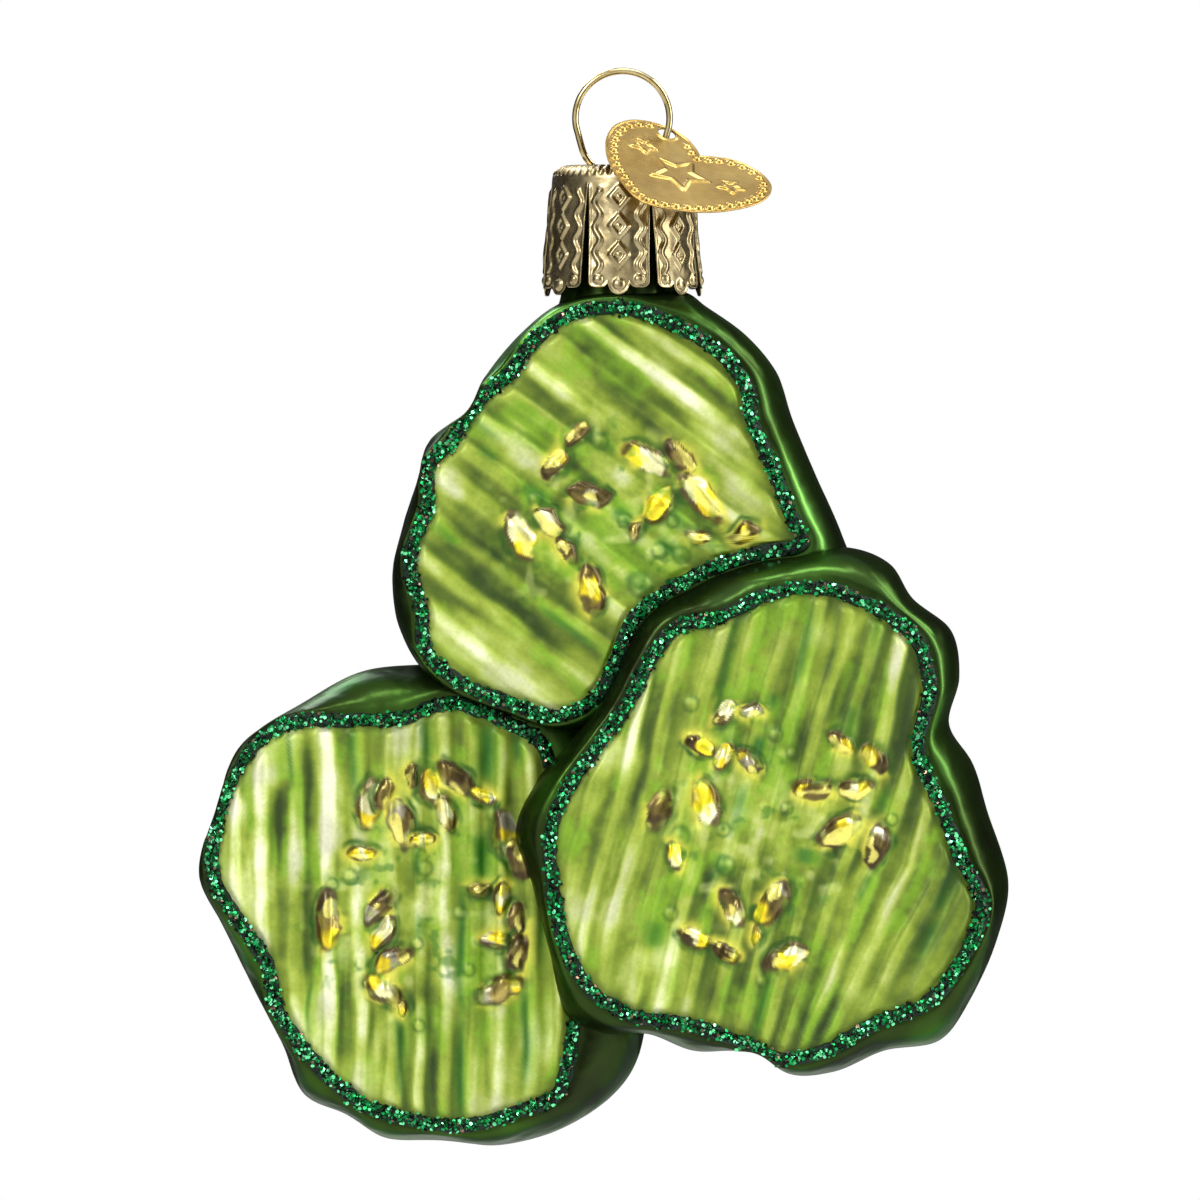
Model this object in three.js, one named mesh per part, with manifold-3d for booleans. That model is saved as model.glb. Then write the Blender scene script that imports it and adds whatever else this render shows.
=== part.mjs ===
// Blown glass ornament: three overlapping crinkle-cut pickle slices, a cap, a wire hanger and a heart tag.
// Millimetres. X is right, -Y is the front, +Z is up. The origin is the inside top of the hanging loop.

import * as THREE from 'three';
import { mergeVertices } from 'three/addons/utils/BufferGeometryUtils.js';
import Module from 'manifold-3d';

const wasm = await Module();
wasm.setup();

const DEGREE = Math.PI / 180;

// Wire hanger
const WIRE_DIAMETER = 0.6;
const WIRE_SIDES = 8;
const WIRE_STEPS = 72;
const LOOP_RADIUS = 4.25; // centreline of the wire
const LOOP_END_ANGLE = 20; // where the round loop ends, below its widest point
const LOOP_WAIST = [[0.17, 0.28], [0.4, 0.6], [0.72, 0.84]]; // from there to the cap's hole, as shares in and down
const LEG_SPACING = 5.5; // between the legs where they pass through the cap
const STRAIGHT_BELOW_CAP = 2.4; // straight run of each leg under the cap's top
const LEG_LENGTH = 21; // below the cap's top
const LOOP_STEPS = 9; // from the loop's top to the end of its round
const LEG_ABOVE_CAP = 0.05; // straight run of each leg over the cap
const LEG_KNEE_DROP = 9.5; // below the cap's top, where a leg has done most of its spread
const LEG_KNEE_SPREAD = 0.7; // share of the spread done there
const LEG_WIDEST_DROP = 16.8;
const LEG_TOE_IN = 0.1;

// Cap
const CAP_TOP_Z = -8.3;
const CAP_WALL = 0.35;
const CAP_NECK_CLEARANCE = 0.6;
const CAP_FLARE = 0.68; // how much wider the petals' ends are than the shoulder
const CAP_SHOULDER_DROP = 1.2;
const CAP_TOP_EDGE = 0.75; // how far the flat top stops short of the shoulder
const CAP_EDGE_DROP = 0.54; // drop from the flat top to the middle of its rounded edge
const CAP_EDGE_INSET = 0.19; // how far that middle lies inside the shoulder
const CAP_WAIST_DROP = 6.4; // from the cap's top to the middle ring of its skirt
const CAP_SKIRT = 10.6; // from the cap's top to the straight edge of the petals
const CAP_SEGMENTS = 48;
const WIRE_HOLE_CLEARANCE = 0.3;
const PETALS = 7;
const PETAL_TURN = -2.8; // the front petal's middle, in degrees to the right of the front
const SLOT_WIDTH = 0.75; // between two petals at their ends
const SLOT_START = 1.5; // below the cap's top
const LOBE_WIDTH = 1.9;
const LOBE_DEPTH = 1.1;
const SCALLOP_DEPTH = 0.45;
const SCALLOP_ROUNDING = 0.1;

// Neck of the glass
const NECK_RADIUS = 5.4;
const GLASS_WALL = 1.0;
const NECK_WALL = 0.7; // the neck is drawn out thinner than the slices
const MOUTH_BELOW_ZERO = 8.65; // the outlines below are drawn from a zero this far above the mouth
const NECK_FOOT = -19.2; // where the neck meets the top slice
const NECK_FLARE = 1.0;
const NECK_FLARE_CURVE = [[0.2, 0.4], [0.6, -0.4], [1, -1]]; // out and up, as shares of the flare
const NECK_ROOT = 3.2; // how far the neck's solid foot runs into the slice
const NECK_SEGMENTS = 36;
const LEG_TO_GLASS = 0.35;

// Slices
const SLICES_WIDTH = 72.9; // over all three, at their widest
const SLICES_HEIGHT = 77.1; // from the top of the top slice to the foot of the left one
const SLICE_THICKNESS = 15;
const RAYS = 54; // points round each outline
const OUTLINE_STEPS = 8; // between two points of an outline
const RIND_ROWS = 3; // from each face to the widest line
const BACK_RIND_WIDTH = 2.6; // from the widest line to the middle of the back band
const RIDGE_PITCH = 3.0;
const RIDGE_HEIGHT = 0.7;
const RIDGE_STEPS = 4;
const RIDGE_BASE = 0.08;
const SEED_HEIGHT = 0.45; // above the ridges
const SEED_SLIMNESS = 0.48; // width over length
const SEED_MAX_WIDTH = 2.1;
const NEIGHBOUR_GAP = 0.3;

// Glitter bands
const BAND_WIDTH = 1.45;
const BAND_HEIGHT = 0.6;
const BAND_SHOULDER = 0.24; // share of the width over which the bead rises
const LAND_MARGIN = 0.1; // flat glass outside the band
const BAND_TO_RIDGES = 0.3;

// Heart tag
const TAG_THICKNESS = 0.32;
const TAG_HOLE_DIAMETER = 1.7;
const TAG_LOOP_ANGLE = -20; // where the tag hangs, on the right side of the loop
const TAG_FORWARD = 0.18; // the hole's centre is this far in front of the wire
const TAG_SLOPE_X = 0.5; // the tag's plane comes forward to the left
const TAG_SLOPE_Z = 1.65; // and forward at the bottom, over the cap's rim
const TAG_UP = [5.4, 4.6]; // direction from tip to notch, seen from the front
const TAG_HOLE_FROM_NOTCH = [-3.9, 0.75];
const HEART_HALF = [
  [0, 0], [0.9, 0.9], [2.4, 1.8], [4.1, 2.0], [5.8, 1.5], [7.2, 0.2], [7.9, -2.0],
  [7.6, -4.4], [6.7, -6.5], [5.4, -8.4], [3.6, -10.1], [1.6, -11.6], [0, -12.2],
];
const HEART_STEPS = 24;

// Each slice: its middle plane, the outline of its front band, its widest outline, the slope of its ridges in
// degrees above the horizontal, and its seeds as [x, z, angle, length].
const SLICES = [
  {
    name: 'top',
    middle: 0,
    centre: [-2.5, -40],
    ridgeSlope: -37,
    band: [
      [0, -21.2], [-4.1, -21.6], [-7.7, -23.8], [-10.3, -27.3], [-13.0, -29.5], [-15.3, -33.1],
      [-17.5, -35.6], [-17.5, -38.8], [-19.1, -43.8], [-18.1, -48.2], [-17.7, -51.8], [-14.9, -54.7],
      [-10.2, -56.6], [-6.0, -57.9], [-2.4, -56.2], [-0.6, -52.9], [0.9, -49.3], [3.7, -46.9],
      [7.8, -44.7], [12.8, -43.1], [16.2, -42.4], [15.0, -39.6], [13.5, -35.5], [11.7, -31.6],
      [10.9, -27.8], [8.1, -24.7], [3.7, -22.3],
    ],
    rind: [
      [0, -19.6], [-5.5, -20.6], [-9.1, -23.3], [-12.4, -27.3], [-13.9, -30.3], [-17.4, -33.1],
      [-18.5, -36.6], [-19.7, -40.4], [-20.7, -44.9], [-20.2, -49.6], [-18.6, -53.0], [-16.3, -55.3],
      [-12.6, -57.1], [-6.2, -59.0], [-1.0, -59.6], [4.0, -59.8], [12.0, -57.5], [19.0, -52.0], [21.0, -46.0],
      [19.7, -41.3], [17.5, -36.3], [15.4, -31.3], [13.9, -26.9], [11.1, -23.5], [7.5, -20.9], [5.7, -19.7],
    ],
    seeds: [
      [-4.2, -32.6, 40, 2.6], [-6.0, -35.3, 50, 3.0], [-3.2, -38.0, -12, 4.0], [-9.4, -41.6, -68, 4.4],
      [-6.2, -40.6, -52, 3.4], [-5.2, -42.8, -50, 2.4], [-2.8, -46.6, -83, 4.4], [2.2, -34.6, -28, 4.4],
      [5.2, -34.8, -45, 3.2], [7.0, -38.2, -52, 5.2], [3.2, -39.2, 47, 3.6], [1.1, -41.3, 60, 1.8],
      [6.8, -41.7, -20, 2.2], [10.8, -41.3, 20, 2.8],
    ],
  },
  {
    name: 'right',
    middle: -4,
    centre: [13, -68],
    ridgeSlope: 76,
    band: [
      [17.5, -46.3], [13.1, -46.9], [8.9, -48.9], [4.7, -50.0], [2.3, -53.1], [0.2, -57.1], [-2.4, -60.8],
      [-5.0, -64.4], [-6.4, -67.9], [-6.3, -72.5], [-5.1, -78.6], [-2.9, -82.3], [0.9, -84.7], [5.7, -85.4],
      [10.5, -87.0], [14.4, -88.5], [18.3, -87.7], [22.5, -85.4], [27.4, -83.4], [30.6, -79.2], [32.2, -74.7],
      [30.3, -70.5], [28.6, -66.0], [26.5, -60.8], [27.5, -55.3], [26.4, -51.1], [22.8, -48.2],
    ],
    rind: [
      [20.4, -42.7], [24.1, -44.2], [26.1, -47.3], [29.6, -50.2], [30.3, -54.4], [29.4, -58.6], [31.5, -62.1],
      [32.8, -66.3], [34.7, -72.8], [33.7, -78.0], [31.4, -83.1], [28.6, -87.0], [23.5, -88.0], [18.9, -89.9],
      [15.1, -90.1], [11.8, -88.1], [6.4, -88.0], [2.3, -86.5], [-1.8, -86.4], [-5.0, -84.8], [-6.5, -79.2],
      [-8.1, -73.1], [-9.6, -68.3], [-7.7, -63.6], [-5.0, -60.5], [-2.8, -57.7], [-1.0, -54.5], [2.2, -48.4],
      [6.0, -46.2], [10.3, -44.2], [15.1, -43.3],
    ],
    seeds: [
      [9.3, -57.6, 35, 2.4], [11.5, -57.4, 0, 2.2], [7.0, -60.4, -20, 2.8], [9.2, -61.5, 60, 2.6],
      [11.2, -61.9, -40, 2.6], [3.4, -66.3, 75, 3.8], [7.6, -65.6, -70, 4.2], [4.6, -70.3, -80, 2.6],
      [19.6, -60.1, -25, 2.8], [22.5, -61.6, -45, 3.0], [17.0, -64.4, 0, 3.4], [20.7, -64.3, 0, 3.2],
      [19.4, -68.2, 30, 4.2], [22.8, -69.4, 75, 3.8], [9.8, -74.9, -65, 3.6], [13.4, -74.6, 58, 4.6],
      [6.5, -77.7, -20, 2.8], [9.4, -79.0, -27, 2.6], [11.8, -77.4, 90, 1.8], [14.6, -79.3, 28, 4.0],
    ],
  },
  {
    name: 'left',
    middle: 2,
    centre: [-20, -75.5],
    ridgeSlope: 90,
    band: [
      [-15.8, -56.7], [-20.0, -58.1], [-25.4, -58.2], [-29.6, -58.4], [-32.6, -60.0], [-35.2, -63.6],
      [-36.5, -67.8], [-36.8, -72.3], [-34.6, -76.2], [-32.0, -80.1], [-31.0, -84.3], [-28.1, -88.5],
      [-23.6, -92.6], [-18.8, -94.2], [-14.0, -94.7], [-9.8, -93.6], [-5.9, -91.8], [-4.7, -87.9],
      [-4.0, -82.0], [-3.6, -76.0], [-4.2, -69.5], [-5.9, -64.3], [-7.3, -60.3], [-10.4, -58.4],
    ],
    rind: [
      [-18.5, -53.3], [-23.6, -53.9], [-28.7, -56.6], [-34.1, -60.3], [-36.8, -66.6], [-38.2, -72.3],
      [-36.2, -76.5], [-33.2, -82.8], [-30.7, -87.6], [-28.7, -92.1], [-24.8, -93.9], [-21.5, -96.0],
      [-16.1, -96.2], [-11.3, -96.7], [-5.6, -95.2], [-0.8, -92.1], [1.4, -88.8], [2.4, -82.0], [2.2, -76.0],
      [1.9, -70.0], [1.8, -64.0], [0.8, -59.8], [-2.5, -56.4], [-8.0, -54.8], [-13.0, -53.5],
    ],
    seeds: [
      [-22.6, -65.7, 80, 4.4], [-19.9, -67.4, -78, 4.6], [-23.4, -70.2, 0, 2.4], [-18.8, -63.3, 80, 2.2],
      [-17.3, -64.2, -70, 3.4], [-15.0, -63.4, -45, 3.6], [-12.6, -65.1, -15, 2.2], [-16.0, -66.4, -66, 3.2],
      [-18.0, -69.0, 0, 2.4], [-10.5, -68.6, -80, 4.2], [-26.6, -76.2, 85, 5.0], [-21.9, -75.0, 50, 3.2],
      [-21.6, -77.4, 58, 3.0], [-20.9, -79.8, 30, 3.0], [-21.4, -82.6, -30, 3.8], [-12.8, -73.5, 0, 2.2],
      [-10.9, -74.2, 85, 2.6], [-9.6, -76.0, 80, 3.2], [-11.3, -77.9, 0, 2.6], [-11.0, -82.4, 25, 4.0],
    ],
  },
];

const wireRadius = WIRE_DIAMETER / 2;
const loopCentreZ = wireRadius - LOOP_RADIUS;
const mouthZ = CAP_TOP_Z - CAP_WALL;
const neckBore = NECK_RADIUS - NECK_WALL;
const legSpread = neckBore - LEG_TO_GLASS - wireRadius;
const capShoulder = NECK_RADIUS + CAP_NECK_CLEARANCE + CAP_WALL;

const lacquer = { color: 0x10200c, roughness: 0.15, metalness: 0.6 };
const glitter = { color: 0x00704a, roughness: 0.5, metalness: 0.3 };
const pewter = { color: 0x8c7a59, roughness: 0.35, metalness: 1 };
const paleGold = { color: 0xcdb67a, roughness: 0.25, metalness: 1 };
const brass = { color: 0xb88c45, roughness: 0.3, metalness: 1 };

// A solid from positions and triangles, turned the right way out.
function solidFromTriangles(positions, triangles) {
  const point = (index) => new THREE.Vector3().fromArray(positions, 3 * index);
  let volume = 0;
  for (let i = 0; i < triangles.length; i += 3) {
    const [a, b, c] = [point(triangles[i]), point(triangles[i + 1]), point(triangles[i + 2])];
    volume += a.dot(b.cross(c));
  }
  const outward = volume > 0 ? triangles : triangles.slice().reverse();
  const mesh = new wasm.Mesh({
    numProp: 3,
    vertProperties: new Float32Array(positions),
    triVerts: new Uint32Array(outward),
  });
  mesh.merge();
  return new wasm.Manifold(mesh);
}

function solidFromGeometry(geometry) {
  const bare = geometry.clone();
  bare.deleteAttribute('normal');
  bare.deleteAttribute('uv');
  const merged = mergeVertices(bare, 1e-5);
  return solidFromTriangles(Array.from(merged.attributes.position.array), Array.from(merged.index.array));
}

function geometryFromSolid(solid) {
  const { vertProperties, triVerts } = solid.getMesh();
  const geometry = new THREE.BufferGeometry();
  geometry.setAttribute('position', new THREE.BufferAttribute(vertProperties, 3));
  geometry.setIndex(new THREE.BufferAttribute(triVerts, 1));
  geometry.computeVertexNormals();
  return geometry;
}

function namedMesh(name, geometry, look) {
  const mesh = new THREE.Mesh(geometry, new THREE.MeshStandardMaterial(look));
  mesh.name = name;
  return mesh;
}

function union(solids) {
  return solids.reduce((whole, solid) => whole.add(solid));
}

// A closed, smooth outline through the points, as a fine ring of 2-D points.
function smoothOutline(points) {
  const corners = points.map(([x, z]) => new THREE.Vector3(x, z, 0));
  const curve = new THREE.CatmullRomCurve3(corners, true, 'centripetal');
  const fine = curve.getPoints(points.length * OUTLINE_STEPS);
  return fine.slice(0, -1).map((p) => new THREE.Vector2(p.x, p.y));
}

// The outline moved outwards by a distance, or inwards where the distance is negative.
function offsetOutline(outline, distance) {
  const turn = Math.sign(THREE.ShapeUtils.area(outline));
  return outline.map((p, i) => {
    const before = outline[(i + outline.length - 1) % outline.length];
    const after = outline[(i + 1) % outline.length];
    const along = after.clone().sub(before).normalize();
    return new THREE.Vector2(p.x + along.y * distance * turn, p.y - along.x * distance * turn);
  });
}

// Distances from the centre to the outline along evenly spaced rays.
function rayLengths(outline, centre) {
  return Array.from({ length: RAYS }, (_, ray) => {
    const angle = (ray / RAYS) * 2 * Math.PI;
    const direction = new THREE.Vector2(Math.cos(angle), Math.sin(angle));
    let nearest = Infinity;
    outline.forEach((p, i) => {
      const edge = outline[(i + 1) % outline.length].clone().sub(p);
      const toStart = p.clone().sub(centre);
      const span = direction.cross(edge);
      const along = toStart.cross(edge) / span;
      const share = toStart.cross(direction) / span;
      if (share >= 0 && share < 1 && along > 0) nearest = Math.min(nearest, along);
    });
    return nearest;
  });
}

// A solid from a stack of rings, each { lengths, y }, closed by a fan at both ends.
function stackSolid(centre, rings) {
  const positions = [];
  const triangles = [];
  for (const { lengths, y } of rings) {
    lengths.forEach((length, ray) => {
      const angle = (ray / RAYS) * 2 * Math.PI;
      positions.push(centre.x + length * Math.cos(angle), y, centre.y + length * Math.sin(angle));
    });
  }
  const first = rings.length * RAYS;
  positions.push(centre.x, rings[0].y, centre.y, centre.x, rings.at(-1).y, centre.y);
  for (let ray = 0; ray < RAYS; ray += 1) {
    const next = (ray + 1) % RAYS;
    for (let row = 0; row < rings.length - 1; row += 1) {
      const [a, b] = [row * RAYS + ray, row * RAYS + next];
      const [c, d] = [a + RAYS, b + RAYS];
      triangles.push(a, b, d, a, d, c);
    }
    const last = (rings.length - 1) * RAYS;
    triangles.push(first, next, ray, first + 1, last + ray, last + next);
  }
  return solidFromTriangles(positions, triangles);
}

// A map from the drawn points to points stretched to the slices' width and height, away from the neck.
function stretchToSize(slices) {
  const xs = slices.flatMap(({ rind }) => rind.map(([x]) => x));
  const zs = slices.flatMap(({ rind }) => rind.map(([, z]) => z));
  const topZ = Math.max(...zs);
  const wider = SLICES_WIDTH / (Math.max(...xs) - Math.min(...xs));
  const taller = SLICES_HEIGHT / (topZ - Math.min(...zs));
  return ([x, z]) => [x * wider, topZ + (z - topZ) * taller];
}

// Everything about a slice that its solids share.
function layOutSlice(slice) {
  const centre = new THREE.Vector2(...stretch(slice.centre));
  const rindLine = smoothOutline(slice.rind.map(stretch));
  const bandLines = {
    front: smoothOutline(slice.band.map(stretch)),
    back: offsetOutline(rindLine, -BACK_RIND_WIDTH),
  };
  const rind = rayLengths(rindLine, centre);
  const sides = {};
  for (const [side, line] of Object.entries(bandLines)) {
    const outer = rayLengths(offsetOutline(line, BAND_WIDTH / 2), centre);
    sides[side] = {
      outward: side === 'front' ? -1 : 1,
      outer: outer.map((length, ray) => Math.min(length, rind[ray] - 2 * LAND_MARGIN)),
      inner: rayLengths(offsetOutline(line, -BAND_WIDTH / 2), centre),
      ridgeEdge: rayLengths(offsetOutline(line, -BAND_WIDTH / 2 - BAND_TO_RIDGES), centre),
    };
    sides[side].y = slice.middle + (sides[side].outward * SLICE_THICKNESS) / 2;
  }
  const seeds = slice.seeds.map(([x, z, angle, length]) => [...stretch([x, z]), angle, length]);
  return { ...slice, centre, rind, sides, seeds };
}

// The slice's outer form, grown by a distance or shrunk where it is negative.
function sliceForm(slice, grow) {
  const rings = [];
  const addRows = ({ outer, y, outward }, rows) => {
    for (const row of rows) {
      const turn = (row / RIND_ROWS) * (Math.PI / 2);
      rings.push({
        lengths: outer.map((edge, ray) => {
          const land = edge + LAND_MARGIN;
          return land + (slice.rind[ray] - land) * Math.sin(turn) + grow;
        }),
        y: slice.middle + (y + outward * grow - slice.middle) * Math.cos(turn),
      });
    }
  };
  const rows = Array.from({ length: RIND_ROWS + 1 }, (_, row) => row);
  addRows(slice.sides.front, rows);
  addRows(slice.sides.back, rows.slice(0, -1).reverse());
  return stackSolid(slice.centre, rings);
}

// The crinkle ridges of one face: a wave run along the ridges, trimmed inside the band.
function ridgeSolid(slice, side) {
  const { outward, y, ridgeEdge } = slice.sides[side];
  const reach = Math.ceil(Math.max(...ridgeEdge) / RIDGE_PITCH) * RIDGE_PITCH;
  const sink = GLASS_WALL / 2;
  const wave = new THREE.Shape();
  wave.moveTo(-reach, -sink);
  wave.lineTo(reach, -sink);
  const steps = (2 * reach * RIDGE_STEPS) / RIDGE_PITCH;
  for (let step = 0; step <= steps; step += 1) {
    const across = reach - (step * RIDGE_PITCH) / RIDGE_STEPS;
    const rise = 0.5 - 0.5 * Math.cos((2 * Math.PI * across) / RIDGE_PITCH);
    wave.lineTo(across, RIDGE_BASE + RIDGE_HEIGHT * rise);
  }
  wave.closePath();
  const geometry = new THREE.ExtrudeGeometry(wave, { depth: 2 * reach, bevelEnabled: false });
  geometry.translate(0, 0, -reach);
  const slope = slice.ridgeSlope * DEGREE;
  const across = new THREE.Vector3(outward * Math.sin(slope), 0, -outward * Math.cos(slope));
  const out = new THREE.Vector3(0, outward, 0);
  const place = new THREE.Matrix4().makeBasis(across, out, across.clone().cross(out));
  place.setPosition(slice.centre.x, y, slice.centre.y);
  geometry.applyMatrix4(place);
  const trim = stackSolid(slice.centre, [
    { lengths: ridgeEdge, y: y - outward * GLASS_WALL },
    { lengths: ridgeEdge, y: y + outward * (RIDGE_BASE + RIDGE_HEIGHT + 1) },
  ]);
  return solidFromGeometry(geometry).intersect(trim);
}

// The raised seeds of one face. The back face has them mirrored about its own centre.
function seedSolids(slice, side) {
  const { outward, y, ridgeEdge } = slice.sides[side];
  const solids = [];
  for (const [seedX, seedZ, angle, length] of slice.seeds) {
    const x = side === 'front' ? seedX : 2 * slice.centre.x - seedX;
    const tilt = side === 'front' ? angle : 180 - angle;
    const fromCentre = new THREE.Vector2(x, seedZ).sub(slice.centre);
    const ray = Math.round((fromCentre.angle() / (2 * Math.PI)) * RAYS) % RAYS;
    if (fromCentre.length() + length / 2 > ridgeEdge[ray]) continue;
    const width = Math.min(SEED_MAX_WIDTH, length * SEED_SLIMNESS);
    const bottom = -GLASS_WALL / 2;
    const top = RIDGE_BASE + RIDGE_HEIGHT + SEED_HEIGHT;
    const geometry = new THREE.OctahedronGeometry(1, 0);
    geometry.scale(length / 2, (top - bottom) / 2, width / 2);
    geometry.rotateY(-tilt * DEGREE);
    geometry.translate(x, y + (outward * (top + bottom)) / 2, seedZ);
    solids.push(solidFromGeometry(geometry));
  }
  return solids;
}

// The neck and the solid foot that carries it into the top slice.
function neckSolid() {
  const topZ = -MOUTH_BELOW_ZERO;
  const profile = [
    [0, topZ], [NECK_RADIUS, topZ], [NECK_RADIUS, NECK_FOOT + NECK_FLARE],
    ...NECK_FLARE_CURVE.map(([out, up]) => [NECK_RADIUS + out * NECK_FLARE, NECK_FOOT + up * NECK_FLARE]),
    [0, NECK_FOOT - NECK_FLARE - NECK_ROOT],
  ];
  return latheSolid(profile, NECK_SEGMENTS);
}

function boreSolid() {
  const foot = NECK_FOOT - NECK_FLARE - NECK_ROOT;
  const above = 1 - MOUTH_BELOW_ZERO;
  return latheSolid([[0, above], [neckBore, above], [neckBore, foot], [0, foot]], NECK_SEGMENTS);
}

// A turned solid from [radius, z] points that start and end on the axis.
function latheSolid(profile, segments) {
  const geometry = new THREE.LatheGeometry(profile.map(([r, z]) => new THREE.Vector2(r, z)), segments);
  geometry.rotateX(Math.PI / 2);
  return solidFromGeometry(geometry);
}

function glassBody(slices) {
  const shapes = [neckSolid()];
  const hollows = [boreSolid()];
  for (const slice of slices) {
    shapes.push(sliceForm(slice, 0));
    hollows.push(sliceForm(slice, -GLASS_WALL));
    for (const side of ['front', 'back']) {
      shapes.push(ridgeSolid(slice, side), ...seedSolids(slice, side));
    }
  }
  const glass = union(shapes).subtract(union(hollows));
  return namedMesh('glass_body', geometryFromSolid(glass), lacquer);
}

// One band of glitter: a rounded bead on the flat land round a face, cut back from the slices that cover it.
function glitterBead(slice, side, coveringSlices) {
  const { outward, y, inner, outer } = slice.sides[side];
  const section = [[0, 0], [BAND_SHOULDER, BAND_HEIGHT], [1 - BAND_SHOULDER, BAND_HEIGHT], [1, 0]];
  const positions = [];
  const triangles = [];
  for (let ray = 0; ray < RAYS; ray += 1) {
    const angle = (ray / RAYS) * 2 * Math.PI;
    for (const [share, height] of section) {
      const length = inner[ray] + (outer[ray] - inner[ray]) * share;
      positions.push(
        slice.centre.x + length * Math.cos(angle),
        y + outward * height,
        slice.centre.y + length * Math.sin(angle),
      );
    }
    for (let corner = 0; corner < section.length; corner += 1) {
      const a = ray * section.length + corner;
      const b = ray * section.length + ((corner + 1) % section.length);
      const c = ((ray + 1) % RAYS) * section.length + corner;
      const d = ((ray + 1) % RAYS) * section.length + ((corner + 1) % section.length);
      triangles.push(a, b, d, a, d, c);
    }
  }
  let bead = solidFromTriangles(positions, triangles);
  for (const cover of coveringSlices) {
    bead = bead.subtract(sliceForm(cover, NEIGHBOUR_GAP));
  }
  return namedMesh(`glitter_bead_${slice.name}_${side}`, geometryFromSolid(bead), glitter);
}

// The outline of one petal, as [across, z] in the plane that touches it.
function petalShape() {
  const edgeRadius = capShoulder + CAP_FLARE;
  const halfPitch = edgeRadius * Math.sin(Math.PI / PETALS);
  const half = halfPitch - SLOT_WIDTH / 2;
  const edgeZ = CAP_TOP_Z - CAP_SKIRT;
  const slotZ = CAP_TOP_Z - SLOT_START;
  const lobe = LOBE_WIDTH / 2;
  const shape = new THREE.Shape();
  shape.moveTo(-capShoulder * Math.sin(Math.PI / PETALS), slotZ);
  shape.lineTo(-half, edgeZ);
  const scallopZ = edgeZ - SCALLOP_DEPTH;
  const lobeZ = edgeZ - LOBE_DEPTH;
  const scallop = (half + lobe) / 2;
  shape.quadraticCurveTo(-half + SCALLOP_ROUNDING, scallopZ, -scallop, scallopZ);
  shape.quadraticCurveTo(-lobe - SCALLOP_ROUNDING, scallopZ, -lobe, edgeZ);
  shape.quadraticCurveTo(-lobe, lobeZ, 0, lobeZ);
  shape.quadraticCurveTo(lobe, lobeZ, lobe, edgeZ);
  shape.quadraticCurveTo(lobe + SCALLOP_ROUNDING, scallopZ, scallop, scallopZ);
  shape.quadraticCurveTo(half - SCALLOP_ROUNDING, scallopZ, half, edgeZ);
  shape.lineTo(capShoulder * Math.sin(Math.PI / PETALS), slotZ);
  shape.closePath();
  return shape;
}

// Stamped cap: a thin turned skin, cut into petals below the shoulder and pierced for the wire.
function cap() {
  const endZ = CAP_TOP_Z - CAP_SKIRT - LOBE_DEPTH - 1;
  const flareAt = (z) => (CAP_FLARE * (CAP_TOP_Z - CAP_SHOULDER_DROP - z)) / (CAP_SKIRT - CAP_SHOULDER_DROP);
  const waistZ = CAP_TOP_Z - CAP_WAIST_DROP;
  const outer = [
    [0, CAP_TOP_Z], [capShoulder - CAP_TOP_EDGE, CAP_TOP_Z],
    [capShoulder - CAP_EDGE_INSET, CAP_TOP_Z - CAP_EDGE_DROP],
    [capShoulder, CAP_TOP_Z - CAP_SHOULDER_DROP], [capShoulder + flareAt(waistZ), waistZ],
    [capShoulder + flareAt(endZ), endZ], [0, endZ],
  ];
  const inner = [
    [0, CAP_TOP_Z - CAP_WALL], [capShoulder - CAP_TOP_EDGE - CAP_WALL / 2, CAP_TOP_Z - CAP_WALL],
    [capShoulder - CAP_EDGE_INSET - CAP_WALL, CAP_TOP_Z - CAP_EDGE_DROP - CAP_WALL / 2],
    [capShoulder - CAP_WALL, CAP_TOP_Z - CAP_SHOULDER_DROP - CAP_WALL / 2],
    [capShoulder + flareAt(waistZ) - CAP_WALL, waistZ], [capShoulder + flareAt(endZ) - CAP_WALL, endZ - 1],
    [0, endZ - 1],
  ];
  const skin = latheSolid(outer, CAP_SEGMENTS).subtract(latheSolid(inner, CAP_SEGMENTS));
  const reach = 2 * capShoulder;
  const aboveSlots = new THREE.BoxGeometry(2 * reach, 2 * reach, SLOT_START + 1);
  aboveSlots.translate(0, 0, CAP_TOP_Z + 1 - (SLOT_START + 1) / 2);
  const keep = [solidFromGeometry(aboveSlots)];
  for (let petal = 0; petal < PETALS; petal += 1) {
    const options = { depth: reach, bevelEnabled: false, curveSegments: 2 };
    const geometry = new THREE.ExtrudeGeometry(petalShape(), options);
    geometry.rotateX(Math.PI / 2);
    geometry.rotateZ((petal / PETALS) * 2 * Math.PI + PETAL_TURN * DEGREE);
    keep.push(solidFromGeometry(geometry));
  }
  let solid = skin.intersect(union(keep));
  for (const side of [-1, 1]) {
    const hole = new THREE.CylinderGeometry(
      wireRadius + WIRE_HOLE_CLEARANCE, wireRadius + WIRE_HOLE_CLEARANCE, 4 * CAP_WALL, 16);
    hole.rotateX(Math.PI / 2);
    hole.translate((side * LEG_SPACING) / 2, 0, CAP_TOP_Z - CAP_WALL / 2);
    solid = solid.subtract(solidFromGeometry(hole));
  }
  return namedMesh('cap', geometryFromSolid(solid), pewter);
}

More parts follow.
